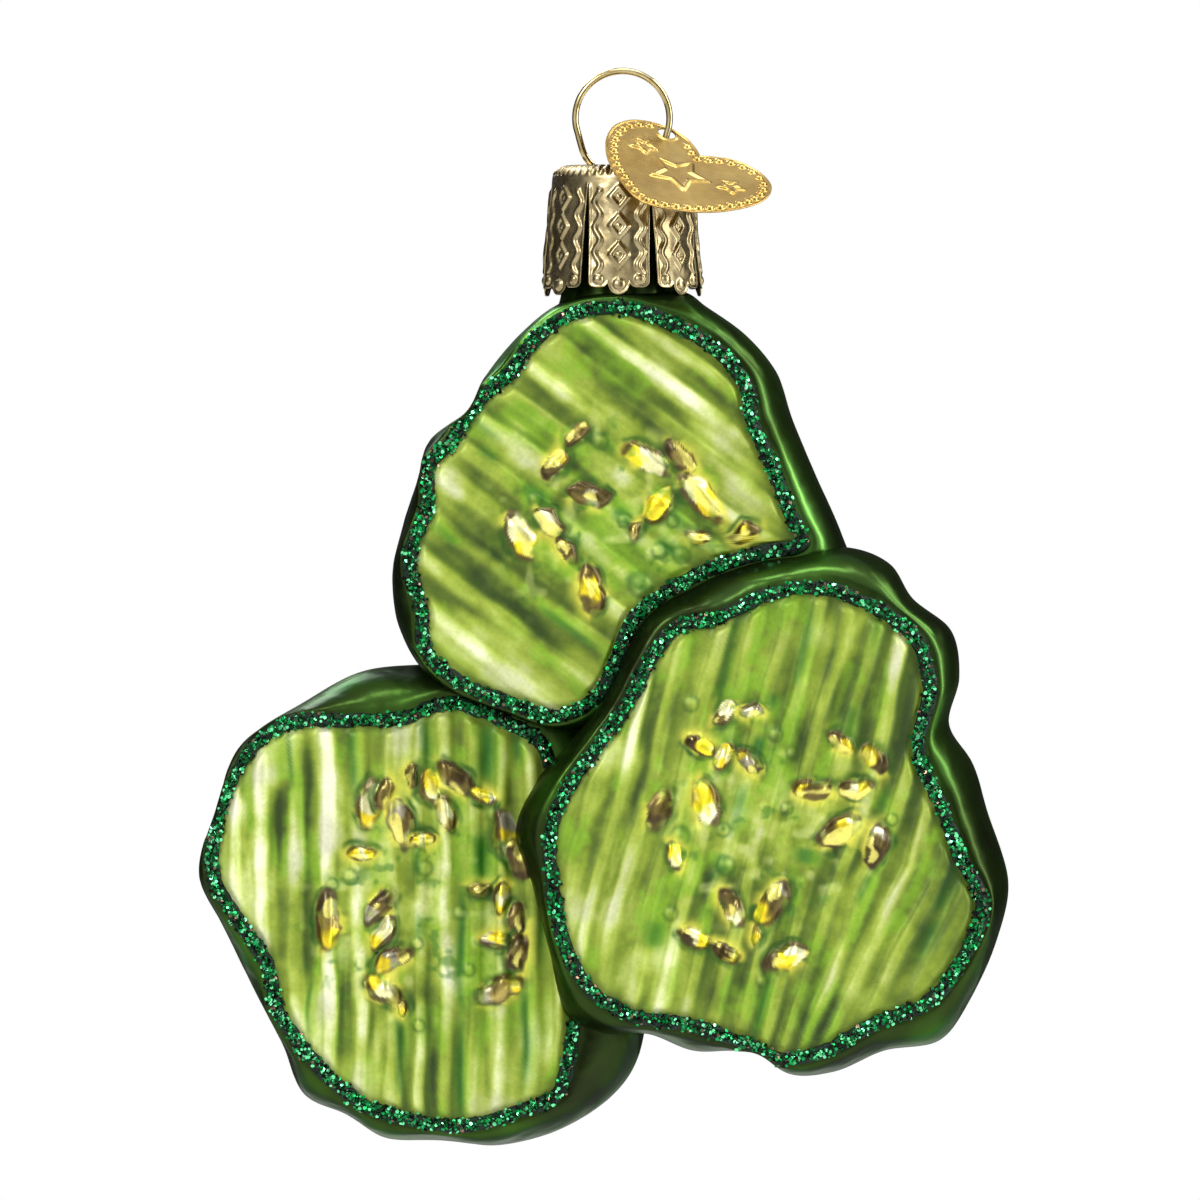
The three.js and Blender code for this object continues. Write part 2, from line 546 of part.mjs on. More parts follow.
// The wire's centreline, from one sprung end over the loop to the other.
function wirePath() {
  const half = [];
  for (let step = 0; step <= LOOP_STEPS; step += 1) {
    const angle = (90 + LOOP_END_ANGLE) * (step / LOOP_STEPS) * DEGREE;
    half.push([LOOP_RADIUS * Math.sin(angle), loopCentreZ + LOOP_RADIUS * Math.cos(angle)]);
  }
  const hole = LEG_SPACING / 2;
  const [loopEndX, loopEndZ] = half.at(-1);
  const aboveHole = CAP_TOP_Z + LEG_ABOVE_CAP;
  for (const [inward, down] of LOOP_WAIST) {
    half.push([loopEndX + inward * (hole - loopEndX), loopEndZ + down * (aboveHole - loopEndZ)]);
  }
  half.push([hole, aboveHole], [hole, CAP_TOP_Z - STRAIGHT_BELOW_CAP]);
  half.push([hole + LEG_KNEE_SPREAD * (legSpread - hole), CAP_TOP_Z - LEG_KNEE_DROP]);
  half.push([legSpread, CAP_TOP_Z - LEG_WIDEST_DROP], [legSpread - LEG_TOE_IN, CAP_TOP_Z - LEG_LENGTH]);
  const mirrored = half.slice(1).reverse().map(([x, z]) => [-x, z]);
  const points = [...mirrored, ...half].map(([x, z]) => new THREE.Vector3(x, 0, z));
  return new THREE.CatmullRomCurve3(points, false, 'centripetal');
}

function hangerWire() {
  const section = new THREE.Shape();
  for (let side = 0; side < WIRE_SIDES; side += 1) {
    const angle = ((side + 0.5) / WIRE_SIDES) * 2 * Math.PI;
    const method = side === 0 ? 'moveTo' : 'lineTo';
    section[method](wireRadius * Math.cos(angle), wireRadius * Math.sin(angle));
  }
  section.closePath();
  const geometry = new THREE.ExtrudeGeometry(section, { steps: WIRE_STEPS, extrudePath: wirePath() });
  return namedMesh('hanger_wire', geometryFromSolid(solidFromGeometry(geometry)), paleGold);
}

// Stamped heart, hung by its hole from the right side of the loop and leaning over the cap's rim.
function heartTag() {
  const corners = HEART_HALF.map(([x, y]) => new THREE.Vector2(x, y));
  const half = new THREE.SplineCurve(corners).getPoints(HEART_STEPS);
  const mirrored = half.slice(1, -1).reverse().map((p) => new THREE.Vector2(-p.x, p.y));
  const shape = new THREE.Shape([...half, ...mirrored]);
  const hole = new THREE.Path();
  hole.absarc(...TAG_HOLE_FROM_NOTCH, TAG_HOLE_DIAMETER / 2, 0, 2 * Math.PI);
  shape.holes.push(hole);
  const depth = TAG_THICKNESS;
  const geometry = new THREE.ExtrudeGeometry(shape, { depth, bevelEnabled: false, curveSegments: 8 });
  geometry.translate(-TAG_HOLE_FROM_NOTCH[0], -TAG_HOLE_FROM_NOTCH[1], -TAG_THICKNESS / 2);
  const facing = new THREE.Vector3(TAG_SLOPE_X, -1, TAG_SLOPE_Z).normalize();
  const [upX, upZ] = TAG_UP;
  const up = new THREE.Vector3(upX, TAG_SLOPE_X * upX + TAG_SLOPE_Z * upZ, upZ).normalize();
  const across = up.clone().cross(facing);
  const mesh = namedMesh('heart_tag', geometryFromSolid(solidFromGeometry(geometry)), brass);
  mesh.quaternion.setFromRotationMatrix(new THREE.Matrix4().makeBasis(across, up, facing));
  mesh.position.set(
    LOOP_RADIUS * Math.cos(TAG_LOOP_ANGLE * DEGREE),
    -TAG_FORWARD,
    loopCentreZ + LOOP_RADIUS * Math.sin(TAG_LOOP_ANGLE * DEGREE),
  );
  return mesh;
}

const ornament = new THREE.Group();
ornament.add(hangerWire(), cap(), heartTag());

const glass = new THREE.Group();
glass.position.z = mouthZ + MOUTH_BELOW_ZERO;
const stretch = stretchToSize(SLICES);
const slices = SLICES.map(layOutSlice);
const [topSlice, rightSlice, leftSlice] = slices;
glass.add(
  glassBody(slices),
  glitterBead(topSlice, 'front', [rightSlice]),
  glitterBead(rightSlice, 'front', []),
  glitterBead(leftSlice, 'front', [topSlice, rightSlice]),
  glitterBead(topSlice, 'back', [leftSlice]),
  glitterBead(rightSlice, 'back', [topSlice, leftSlice]),
  glitterBead(leftSlice, 'back', []),
);
ornament.add(glass);

export default ornament;
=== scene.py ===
import math

import bmesh
import bpy
import numpy as np
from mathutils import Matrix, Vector


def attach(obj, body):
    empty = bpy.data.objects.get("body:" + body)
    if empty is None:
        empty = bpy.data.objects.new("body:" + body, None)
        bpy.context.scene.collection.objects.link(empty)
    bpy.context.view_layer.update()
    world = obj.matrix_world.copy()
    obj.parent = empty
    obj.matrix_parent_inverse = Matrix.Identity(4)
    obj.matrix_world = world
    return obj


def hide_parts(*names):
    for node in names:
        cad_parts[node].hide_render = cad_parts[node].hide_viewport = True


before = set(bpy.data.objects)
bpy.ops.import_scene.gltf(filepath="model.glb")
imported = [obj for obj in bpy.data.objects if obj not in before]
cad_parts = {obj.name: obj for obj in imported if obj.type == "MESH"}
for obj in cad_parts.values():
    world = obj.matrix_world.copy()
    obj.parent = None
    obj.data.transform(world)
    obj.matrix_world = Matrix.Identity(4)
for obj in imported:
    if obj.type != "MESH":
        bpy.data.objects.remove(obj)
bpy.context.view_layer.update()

# Blown glass ornament: three crinkle-cut pickle slices with glitter bands, a crimped cap, a wire hanger and
# a heart tag. Sizes are in millimetres, in the frame of the CAD model, and become metres when a mesh is
# made. X is right, -Y is the front, +Z is up.

MM = 0.001

# Slices, as in the CAD model
SLICE_THICKNESS = 15.0
FACE_DEPTH = SLICE_THICKNESS / 2
LAND_MARGIN = 0.1
BACK_RIND_WIDTH = 2.6
BAND_WIDTH = 1.45
BAND_HEIGHT = 0.5
RIDGE_BASE = 0.08
RIDGE_HEIGHT = 0.62
SEED_HEIGHT = 0.42
BUMP_HEIGHT = 0.11
SEED_SLIMNESS = 0.5
SEED_MAX_WIDTH = 2.2

# How finely the slices are made, and how far a face's panel reaches below its land and under the glitter
OUTLINE_STEPS = 12
RAYS = 480
RIND_ROWS = 20
LAND_SHARES = (0.3, 0.6, 0.85)
PANEL_DEPTH = 0.4
PANEL_OVERLAP = 0.4
CORE_RADIUS = 9.0
RIND_SWELL = 0.22

# Neck, cap, wire and tag, as in the CAD model
NECK_RADIUS = 5.4
NECK_BORE = 4.7
MOUTH_Z = -8.65
NECK_FOOT_Z = -19.2
BORE_END_Z = -36.0
CAP_TOP_Z = -8.3
CAP_WALL = 0.35
THINNED = 0.6  # the visible sheet's share of the CAD model's, which leaves room for the relief
CAP_SHOULDER = 6.35
CAP_FLARE = 0.68
CAP_SHOULDER_DROP = 1.2
CAP_SKIRT = 10.6
PETALS = 7
PETAL_TURN = -2.8
SLOT_START = 1.5
SLOT_WIDTH = 0.75
LOBE_WIDTH = 1.9
LOBE_DEPTH = 1.1
SCALLOP_DEPTH = 0.45
WIRE_DIAMETER = 0.6
LOOP_RADIUS = 4.25
LOOP_END_ANGLE = 20.0
LOOP_WAIST = [(0.17, 0.28), (0.4, 0.6), (0.72, 0.84)]
LEG_ABOVE_CAP = 0.05
LEG_SPACING = 5.5
TAG_THICKNESS = 0.32
TAG_HOLE_DIAMETER = 1.7

# Paint, as it shows on a screen
# The face paint by how light it is painted: from painted shade in the grooves to painted highlight on
# crests
PAINT_LIGHTS = [0.0, 0.2, 0.4, 0.58, 0.78, 1.0]
PAINT_COLOURS = [
    (0.18, 0.26, 0.07), (0.34, 0.42, 0.12), (0.51, 0.59, 0.18), (0.64, 0.71, 0.27), (0.80, 0.85, 0.52),
    (0.97, 0.97, 0.84),
]
FRESH = (0.47, 0.71, 0.12)
LIME = (0.58, 0.78, 0.20)
PEARL = (0.78, 0.78, 0.68)
GLEAM = (0.88, 0.90, 0.62)
EMERALD = (0.09, 0.34, 0.06)
HOLLOW = (0.19, 0.40, 0.10)
GROOVE = (0.22, 0.32, 0.07)
RIM_SHADE = (0.24, 0.31, 0.08)
BUMP_SHADE = (0.18, 0.33, 0.06)
BUMP_LIGHT = (0.80, 0.87, 0.45)
SEED_SPARK = (1.0, 0.96, 0.50)
SEED_BARK = (0.26, 0.21, 0.09)
SEED_GLOOM = (0.17, 0.31, 0.05)
SEED_SPILL = (0.94, 0.90, 0.34)
SEED_LINE = (0.13, 0.30, 0.05)
# Painted highlight on the rind, next to the glitter
THIN_LACQUER = (0.34, 0.53, 0.23)
GLUE_TINT = (0.0, 0.3, 0.2)
TONES = {
    "gold": (0.98, 0.87, 0.16),
    "cream": (1.0, 0.98, 0.74),
    "tan": (0.62, 0.55, 0.29),
    "brown": (0.41, 0.35, 0.17),
    "umber": (0.27, 0.22, 0.11),
    "pearl": (0.66, 0.63, 0.54),
}
# How much wider or narrower the streaks are painted than listed
SPREAD = {"glow": 1.6, "shade": 0.85, "emerald": 0.75}

# Each slice: its middle plane and its centre, the slope of its ridges in degrees above the horizontal and
# how they lean together at one side, how far the painted highlight fills its grooves, how strong the
# painted highlight on its rind is, how much lighter or darker its paint is painted for the light on it, the
# outline of its front band and its widest outline, the crests of its ridges as (distance across, strength
# of the painted highlight on the crest), its seeds as (x, z, angle, length, tones along it), its small
# round bumps as (x, z, radius), and streaks along the ridges, of painted highlight, painted shade and
# emerald paint, as (x, z, half width, half length, strength).
SLICES = {
    "top": {
        "middle": 0.0,
        "centre": (-2.5, -40.0),
        "slope": -37.0,
        "lean": 0.0,
        "fill": 0.0,
        "thin": 1.0,
        "lift": -0.005,
        "band": [
            (0, -21.2), (-4.1, -21.6), (-7.7, -23.8), (-10.3, -27.3), (-13.0, -29.5), (-15.3, -33.1),
            (-17.5, -35.6), (-17.5, -38.8), (-19.1, -43.8), (-18.1, -48.2), (-17.7, -51.8), (-14.9, -54.7),
            (-10.2, -56.6), (-6.0, -57.9), (-2.4, -56.2), (-0.6, -52.9), (0.9, -49.3), (3.7, -46.9),
            (7.8, -44.7), (12.8, -43.1), (16.2, -42.4), (15.0, -39.6), (13.5, -35.5), (11.7, -31.6),
            (10.9, -27.8), (8.1, -24.7), (3.7, -22.3),
        ],
        "rind": [
            (0, -19.6), (-5.5, -20.6), (-9.1, -23.3), (-12.4, -27.3), (-13.9, -30.3), (-17.4, -33.1),
            (-18.5, -36.6), (-19.7, -40.4), (-20.7, -44.9), (-20.2, -49.6), (-18.6, -53.0), (-16.3, -55.3),
            (-12.6, -57.1), (-6.2, -59.0), (-1.0, -59.6), (4.0, -59.8), (12.0, -57.5), (19.0, -52.0),
            (21.0, -46.0), (19.7, -41.3), (17.5, -36.3), (15.4, -31.3), (13.9, -26.9), (11.1, -23.5),
            (7.5, -20.9), (5.7, -19.7),
        ],
        "crests": [
            (-19.0, 0.6), (-15.9, 1.0), (-12.0, 0.85), (-8.7, 0.5), (-5.4, 0.6), (-2.3, 0.35), (0.8, 0.55),
            (4.0, 0.6), (7.3, 1.0), (10.3, 0.45), (13.4, 0.95), (16.4, 0.45), (19.4, 0.4),
        ],
        "seeds": [
            (-4.2, -32.6, 40, 2.8, "brown tan brown"), (-6.0, -35.3, 50, 3.2, "brown brown gold"),
            (-3.0, -38.0, -14, 4.0, "brown pearl brown"), (-9.3, -41.6, -68, 4.6, "cream cream gold"),
            (-6.5, -40.4, -52, 3.4, "cream cream tan"), (-5.0, -42.9, -52, 2.6, "brown brown tan"),
            (-2.8, -46.5, -83, 4.8, "brown gold brown"), (2.2, -34.7, -28, 4.6, "gold cream cream"),
            (5.1, -34.7, -45, 3.6, "umber tan brown"), (7.0, -38.2, -52, 5.4, "cream gold gold"),
            (3.3, -39.0, 50, 3.8, "gold gold gold"), (1.1, -41.3, 60, 1.9, "tan brown brown"),
            (6.8, -41.7, -20, 2.3, "cream gold brown"), (10.9, -41.4, 30, 3.0, "brown gold brown"),
        ],
        "bumps": [
            (-2.1, -33.1, 0.5), (0.1, -40.2, 0.45), (3.2, -42.9, 0.5), (5.2, -43.3, 0.55),
            (4.4, -40.3, 0.4), (-7.9, -38.3, 0.45), (1.5, -45.9, 0.8), (8.6, -43.0, 0.4), (4.9, -37.4, 0.4),
        ],
        "emerald": [
            (1.5, -45.9, 0.9, 1.2, 0.8), (-5.0, -49.9, 0.5, 3.0, 0.7), (-1.4, -33.7, 0.7, 0.8, 0.6),
            (0.2, -39.9, 0.8, 1.2, 0.8), (4.9, -40.4, 0.8, 1.0, 0.8), (4.4, -42.8, 0.8, 1.4, 0.8),
            (-7.8, -38.1, 0.9, 1.2, 0.7), (-13.0, -31.5, 0.5, 2.4, 0.5), (-4.8, -41.8, 0.5, 1.2, 0.5),
            (-12.2, -34.4, 0.6, 1.0, 0.5), (-15.9, -41.3, 0.5, 1.4, 0.5), (8.4, -42.7, 0.5, 1.0, 0.6),
        ],
        "shade": [
            (-2.6, -36.9, 0.55, 3.4, 0.6), (-0.9, -28.0, 0.7, 7.0, 0.45), (2.6, -31.6, 0.6, 3.4, 0.4),
            (-8.0, -30.6, 0.6, 3.0, 0.5), (-13.4, -41.9, 0.6, 4.2, 0.5), (-9.8, -48.2, 0.7, 4.6, 0.5),
            (-6.0, -52.0, 0.6, 3.5, 0.4), (-10.9, -36.4, 0.6, 2.8, 0.3), (-1.0, -42.6, 1.6, 2.2, 0.3),
            (9.3, -29.6, 0.5, 3.0, 0.25), (-4.4, -24.3, 0.5, 2.2, 0.35), (10.6, -36.2, 0.4, 3.6, 0.35),
        ],
        "glow": [
            (4.3, -28.3, 0.85, 5.4, 0.55), (-4.2, -29.0, 0.7, 5.6, 0.55), (1.2, -32.9, 0.8, 2.2, 0.5),
            (-9.6, -31.6, 0.6, 1.8, 0.35), (-15.4, -37.0, 0.8, 1.8, 0.5), (-13.5, -46.8, 0.8, 6.2, 0.5),
            (-14.6, -51.0, 0.9, 3.4, 0.65), (10.8, -32.6, 0.45, 1.3, 0.7), (11.6, -39.0, 1.3, 3.6, 0.35),
            (-7.0, -25.6, 0.6, 2.6, 0.35), (-8.3, -35.6, 0.5, 2.4, 0.3), (3.6, -24.8, 1.6, 4.0, 0.15),
            (-3.4, -54.0, 0.7, 3.0, 0.35), (-16.6, -45.6, 0.5, 2.6, 0.3), (-11.4, -50.6, 1.1, 4.6, 0.35),
            (-1.2, -30.8, 0.8, 4.6, 0.6), (8.6, -33.2, 0.9, 5.4, 0.3),
        ],
    },
    "right": {
        "middle": -4.0,
        "centre": (13.0, -68.0),
        "slope": 76.0,
        "lean": 0.22,
        "fill": 0.2,
        "thin": 0.4,
        "lift": -0.1,
        "band": [
            (17.5, -46.3), (13.1, -46.9), (8.9, -48.9), (4.7, -50.0), (2.3, -53.1), (0.2, -57.1),
            (-2.4, -60.8), (-5.0, -64.4), (-6.4, -67.9), (-6.3, -72.5), (-5.1, -78.6), (-2.9, -82.3),
            (0.9, -84.7), (5.7, -85.4), (10.5, -87.0), (14.4, -88.5), (18.3, -87.7), (22.5, -85.4),
            (27.4, -83.4), (30.6, -79.2), (32.2, -74.7), (30.3, -70.5), (28.6, -66.0), (26.5, -60.8),
            (27.5, -55.3), (26.4, -51.1), (22.8, -48.2),
        ],
        "rind": [
            (20.4, -42.7), (24.1, -44.2), (26.1, -47.3), (29.6, -50.2), (30.3, -54.4), (29.4, -58.6),
            (31.5, -62.1), (32.8, -66.3), (34.7, -72.8), (33.7, -78.0), (31.4, -83.1), (28.6, -87.0),
            (23.5, -88.0), (18.9, -89.9), (15.1, -90.1), (11.8, -88.1), (6.4, -88.0), (2.3, -86.5),
            (-1.8, -86.4), (-5.0, -84.8), (-6.5, -79.2), (-8.1, -73.1), (-9.6, -68.3), (-7.7, -63.6),
            (-5.0, -60.5), (-2.8, -57.7), (-1.0, -54.5), (2.2, -48.4), (6.0, -46.2), (10.3, -44.2),
            (15.1, -43.3),
        ],
        "crests": [
            (-19.0, 0.4), (-16.4, 0.5), (-13.8, 0.9), (-11.3, 0.6), (-8.4, 0.6), (-5.7, 0.85), (-3.2, 0.6),
            (-0.6, 0.5), (2.0, 0.8), (4.9, 0.6), (7.9, 0.75), (10.6, 0.5), (13.3, 0.7), (16.0, 0.6),
            (19.0, 0.5),
        ],
        "seeds": [
            (9.2, -57.6, 35, 2.8, "brown cream cream"), (11.5, -57.4, 0, 2.3, "pearl cream pearl"),
            (7.0, -60.5, -20, 3.0, "umber gold gold"), (9.2, -61.5, 60, 2.8, "gold cream gold"),
            (11.2, -62.0, -40, 2.8, "gold pearl brown"), (3.4, -66.2, 75, 4.0, "umber brown brown"),
            (7.5, -65.6, -70, 4.4, "gold gold cream"), (4.6, -70.3, -80, 2.6, "gold gold cream"),
            (19.6, -60.1, -25, 2.9, "umber brown gold"), (22.5, -61.7, -45, 3.2, "gold gold umber"),
            (17.0, -64.4, 0, 3.6, "gold brown brown"), (20.7, -64.3, 0, 3.4, "brown cream gold"),
            (19.4, -68.1, 30, 4.4, "brown gold cream"), (22.8, -69.4, 75, 4.0, "umber brown pearl"),
            (9.8, -74.9, -65, 3.8, "brown tan cream"), (13.4, -74.7, 58, 4.8, "gold brown pearl"),
            (6.5, -77.6, -20, 3.0, "umber cream gold"), (9.3, -79.0, -27, 2.8, "brown umber gold"),
            (11.8, -77.4, 90, 1.8, "gold gold tan"), (14.5, -79.4, 28, 4.2, "umber gold cream"),
        ],
        "bumps": [
            (6.0, -56.6, 0.5), (13.6, -59.4, 0.45), (5.0, -68.4, 0.6), (14.6, -66.0, 0.4),
            (9.1, -71.1, 0.6), (8.9, -67.9, 0.45), (15.1, -61.0, 0.4), (24.0, -67.0, 0.4),
            (12.4, -81.5, 0.4), (4.2, -75.4, 0.45),
        ],
        "emerald": [
            (16.3, -51.8, 0.55, 3.6, 0.8), (9.0, -54.5, 0.5, 3.4, 0.55), (12.2, -60.6, 0.8, 0.9, 0.8),
            (20.5, -58.4, 0.7, 1.6, 0.7), (9.1, -71.1, 0.8, 0.8, 0.8), (12.5, -83.9, 0.55, 3.0, 0.9),
            (21.9, -72.9, 0.5, 1.8, 0.6), (29.0, -73.3, 0.6, 2.2, 0.5), (27.2, -77.9, 0.6, 2.0, 0.5),
            (23.4, -65.5, 0.6, 1.4, 0.6), (2.6, -77.3, 1.3, 1.2, 0.6), (10.4, -66.4, 1.0, 2.2, 0.6),
            (16.6, -70.4, 1.6, 0.7, 0.7), (22.6, -50.8, 0.6, 2.0, 0.5), (13.4, -56.8, 0.8, 1.0, 0.6),
            (5.2, -68.6, 0.7, 1.0, 0.5), (12.0, -77.4, 0.7, 0.8, 0.5), (10.0, -49.8, 0.4, 1.6, 0.5),
        ],
        "shade": [
            (15.9, -60.0, 0.9, 2.6, 0.4), (18.4, -69.6, 1.4, 0.7, 0.6), (14.6, -55.8, 0.5, 4.0, 0.5),
            (18.9, -52.4, 0.5, 3.6, 0.55), (1.8, -62.6, 0.5, 6.0, 0.45), (8.5, -82.5, 0.8, 2.2, 0.5),
            (20.9, -78.4, 0.6, 5.0, 0.5), (5.0, -74.5, 1.0, 2.0, 0.3), (22.2, -54.4, 0.4, 3.4, 0.4),
            (-2.2, -68.2, 0.5, 6.0, 0.4), (4.2, -57.0, 0.5, 4.0, 0.4), (13.2, -70.8, 2.6, 2.4, 0.25),
            (25.6, -72.4, 0.4, 4.4, 0.5), (29.2, -76.2, 0.4, 3.0, 0.4), (16.4, -84.6, 0.5, 2.2, 0.35),
            (7.6, -73.3, 0.6, 1.4, 0.4), (11.0, -47.9, 0.5, 1.2, 0.4),
        ],
        "glow": [
            (24.8, -52.6, 0.6, 2.6, 0.6), (20.2, -74.0, 0.7, 3.6, 0.6), (11.4, -52.4, 0.7, 4.2, 0.4),
            (-0.4, -64.4, 1.3, 5.0, 0.4), (1.3, -80.9, 1.2, 2.6, 0.5), (18.7, -80.4, 0.6, 4.0, 0.5),
            (23.8, -57.2, 0.6, 4.0, 0.35), (7.3, -53.4, 0.6, 3.0, 0.35), (20.4, -51.2, 0.4, 3.4, 0.35),
            (14.0, -64.2, 0.9, 2.6, 0.45), (4.2, -79.6, 0.9, 2.2, 0.35), (23.6, -74.6, 0.5, 3.4, 0.35),
            (10.6, -84.0, 0.6, 1.8, 0.35), (-3.8, -72.6, 0.7, 4.4, 0.3), (27.4, -64.0, 0.6, 2.6, 0.3),
            (6.4, -71.8, 0.5, 1.2, 0.5), (0.6, -71.5, 1.8, 7.0, 0.42), (3.6, -81.0, 1.7, 3.4, 0.35),
            (12.6, -67.0, 1.3, 4.2, 0.35), (22.4, -80.0, 1.3, 4.6, 0.3), (4.9, -56.5, 1.0, 5.0, 0.3),
        ],
    },
    "left": {
        "middle": 2.0,
        "centre": (-20.0, -75.5),
        "slope": 90.0,
        "lean": 0.0,
        "fill": 0.05,
        "thin": 0.15,
        "lift": 0.055,
        "band": [
            (-15.8, -56.7), (-20.0, -58.1), (-25.4, -58.2), (-29.6, -58.4), (-32.6, -60.0), (-35.2, -63.6),
            (-36.5, -67.8), (-36.8, -72.3), (-34.6, -76.2), (-32.0, -80.1), (-31.0, -84.3), (-28.1, -88.5),
            (-23.6, -92.6), (-18.8, -94.2), (-14.0, -94.7), (-9.8, -93.6), (-5.9, -91.8), (-4.7, -87.9),
            (-4.0, -82.0), (-3.6, -76.0), (-4.2, -69.5), (-5.9, -64.3), (-7.3, -60.3), (-10.4, -58.4),
        ],
        "rind": [
            (-18.5, -53.3), (-23.6, -53.9), (-28.7, -56.6), (-34.1, -60.3), (-36.8, -66.6), (-38.2, -72.3),
            (-36.2, -76.5), (-33.2, -82.8), (-30.7, -87.6), (-28.7, -92.1), (-24.8, -93.9), (-21.5, -96.0),
            (-16.1, -96.2), (-11.3, -96.7), (-5.6, -95.2), (-0.8, -92.1), (1.4, -88.8), (2.4, -82.0),
            (2.2, -76.0), (1.9, -70.0), (1.8, -64.0), (0.8, -59.8), (-2.5, -56.4), (-8.0, -54.8),
            (-13.0, -53.5),
        ],
        "crests": [
            (-17.5, 0.5), (-15.0, 0.6), (-12.5, 1.0), (-9.3, 0.75), (-6.4, 1.0), (-3.7, 0.7), (-0.8, 0.75),
            (1.7, 0.7), (4.0, 0.95), (6.6, 0.45), (9.0, 0.6), (11.8, 0.75), (14.6, 0.6), (17.2, 0.5),
        ],
        "seeds": [
            (-22.6, -65.7, 80, 4.6, "gold cream cream"), (-21.4, -64.9, 80, 3.0, "brown brown tan"),
            (-19.9, -67.4, -78, 4.8, "pearl brown pearl"), (-23.4, -70.2, 0, 2.6, "gold cream gold"),
            (-18.8, -63.3, 80, 2.4, "brown umber brown"), (-17.3, -64.2, -70, 3.6, "gold gold cream"),
            (-15.0, -63.5, -45, 3.8, "brown umber brown"), (-12.6, -65.1, -15, 2.3, "gold gold cream"),
            (-16.0, -66.6, -66, 3.4, "cream cream tan"), (-18.0, -69.0, 0, 2.5, "gold cream gold"),
            (-10.5, -68.6, -80, 4.4, "pearl gold cream"), (-9.4, -70.8, -72, 3.8, "umber brown umber"),
            (-26.6, -76.2, 85, 5.2, "gold tan pearl"), (-21.8, -75.0, 50, 3.6, "pearl brown umber"),
            (-21.6, -77.4, 58, 3.2, "gold cream cream"), (-20.8, -79.7, 30, 3.8, "gold pearl tan"),
            (-21.4, -82.6, -30, 4.0, "gold cream brown"), (-19.7, -84.1, 90, 1.7, "gold gold tan"),
            (-12.8, -73.5, 0, 2.4, "tan brown brown"), (-10.9, -74.2, 85, 2.8, "gold cream gold"),
            (-9.6, -76.2, 80, 3.4, "umber brown brown"), (-11.3, -77.9, 0, 2.8, "pearl gold cream"),
            (-9.5, -79.2, 85, 3.6, "umber brown umber"), (-11.0, -82.4, 25, 4.2, "pearl tan gold"),
        ],
        "bumps": [
            (-24.6, -72.2, 0.5), (-17.9, -71.4, 0.5), (-26.2, -72.9, 0.4), (-14.7, -75.4, 0.45),
            (-18.6, -78.2, 0.4), (-11.6, -66.6, 0.5), (-13.9, -80.6, 0.4), (-18.4, -85.6, 0.4),
        ],
        "emerald": [
            (-24.2, -61.6, 0.5, 3.0, 0.9), (-17.9, -60.5, 0.6, 2.4, 0.8), (-12.2, -61.2, 1.0, 2.6, 0.9),
            (-19.9, -88.0, 0.45, 3.6, 0.9), (-14.7, -89.4, 0.5, 4.6, 0.9), (-8.8, -86.0, 0.5, 4.6, 0.8),
            (-18.7, -71.0, 0.5, 1.2, 0.8), (-12.8, -70.6, 0.9, 2.2, 0.9), (-26.1, -72.8, 0.5, 0.8, 0.8),
            (-14.6, -79.0, 0.5, 6.0, 0.7), (-18.2, -76.7, 0.8, 1.2, 0.7), (-7.4, -76.5, 0.5, 3.8, 0.6),
            (-30.0, -62.0, 0.3, 2.6, 0.6), (-9.4, -60.6, 0.5, 1.2, 0.6), (-28.2, -84.0, 0.3, 3.0, 0.5),
        ],
        "shade": [
            (-31.0, -70.5, 0.4, 8.0, 0.5), (-28.2, -66.5, 0.35, 7.0, 0.4), (-24.7, -74.5, 0.4, 12.0, 0.35),
            (-13.3, -78.0, 0.6, 9.0, 0.45), (-18.2, -82.0, 0.7, 1.4, 0.6), (-25.2, -84.0, 0.35, 5.0, 0.4),
            (-20.8, -61.2, 0.4, 3.2, 0.4), (-14.6, -59.6, 0.5, 1.8, 0.4), (-10.0, -66.0, 0.5, 2.4, 0.4),
            (-18.9, -72.6, 0.9, 2.0, 0.3), (-9.2, -90.4, 0.4, 2.0, 0.35), (-17.0, -90.2, 0.3, 3.0, 0.4),
            (-22.4, -87.6, 0.3, 3.4, 0.4), (-12.0, -90.0, 0.35, 3.0, 0.4), (-8.2, -73.6, 0.5, 7.0, 0.5),
        ],
        "glow": [
            (-26.5, -64.6, 0.7, 6.0, 0.7), (-32.7, -71.4, 0.7, 4.4, 0.65), (-28.2, -88.0, 0.6, 3.4, 0.6),
            (-31.2, -61.8, 0.9, 3.0, 0.45), (-21.9, -88.6, 0.45, 4.0, 0.5), (-20.2, -60.6, 0.5, 2.6, 0.4),
            (-29.6, -68.0, 0.35, 5.0, 0.4), (-16.0, -80.0, 0.8, 7.6, 0.45), (-18.4, -89.8, 0.5, 3.6, 0.5),
            (-13.4, -90.6, 0.4, 3.0, 0.4), (-11.0, -88.0, 0.5, 4.4, 0.4), (-6.4, -86.8, 0.5, 3.6, 0.4),
            (-24.0, -74.0, 0.5, 5.0, 0.35), (-34.4, -68.0, 0.5, 3.0, 0.4), (-26.4, -80.0, 0.5, 5.0, 0.3),
            (-32.2, -68.0, 1.2, 6.0, 0.3), (-22.6, -81.5, 0.9, 5.0, 0.3), (-17.0, -75.0, 0.9, 6.0, 0.3),
        ],
    },
}

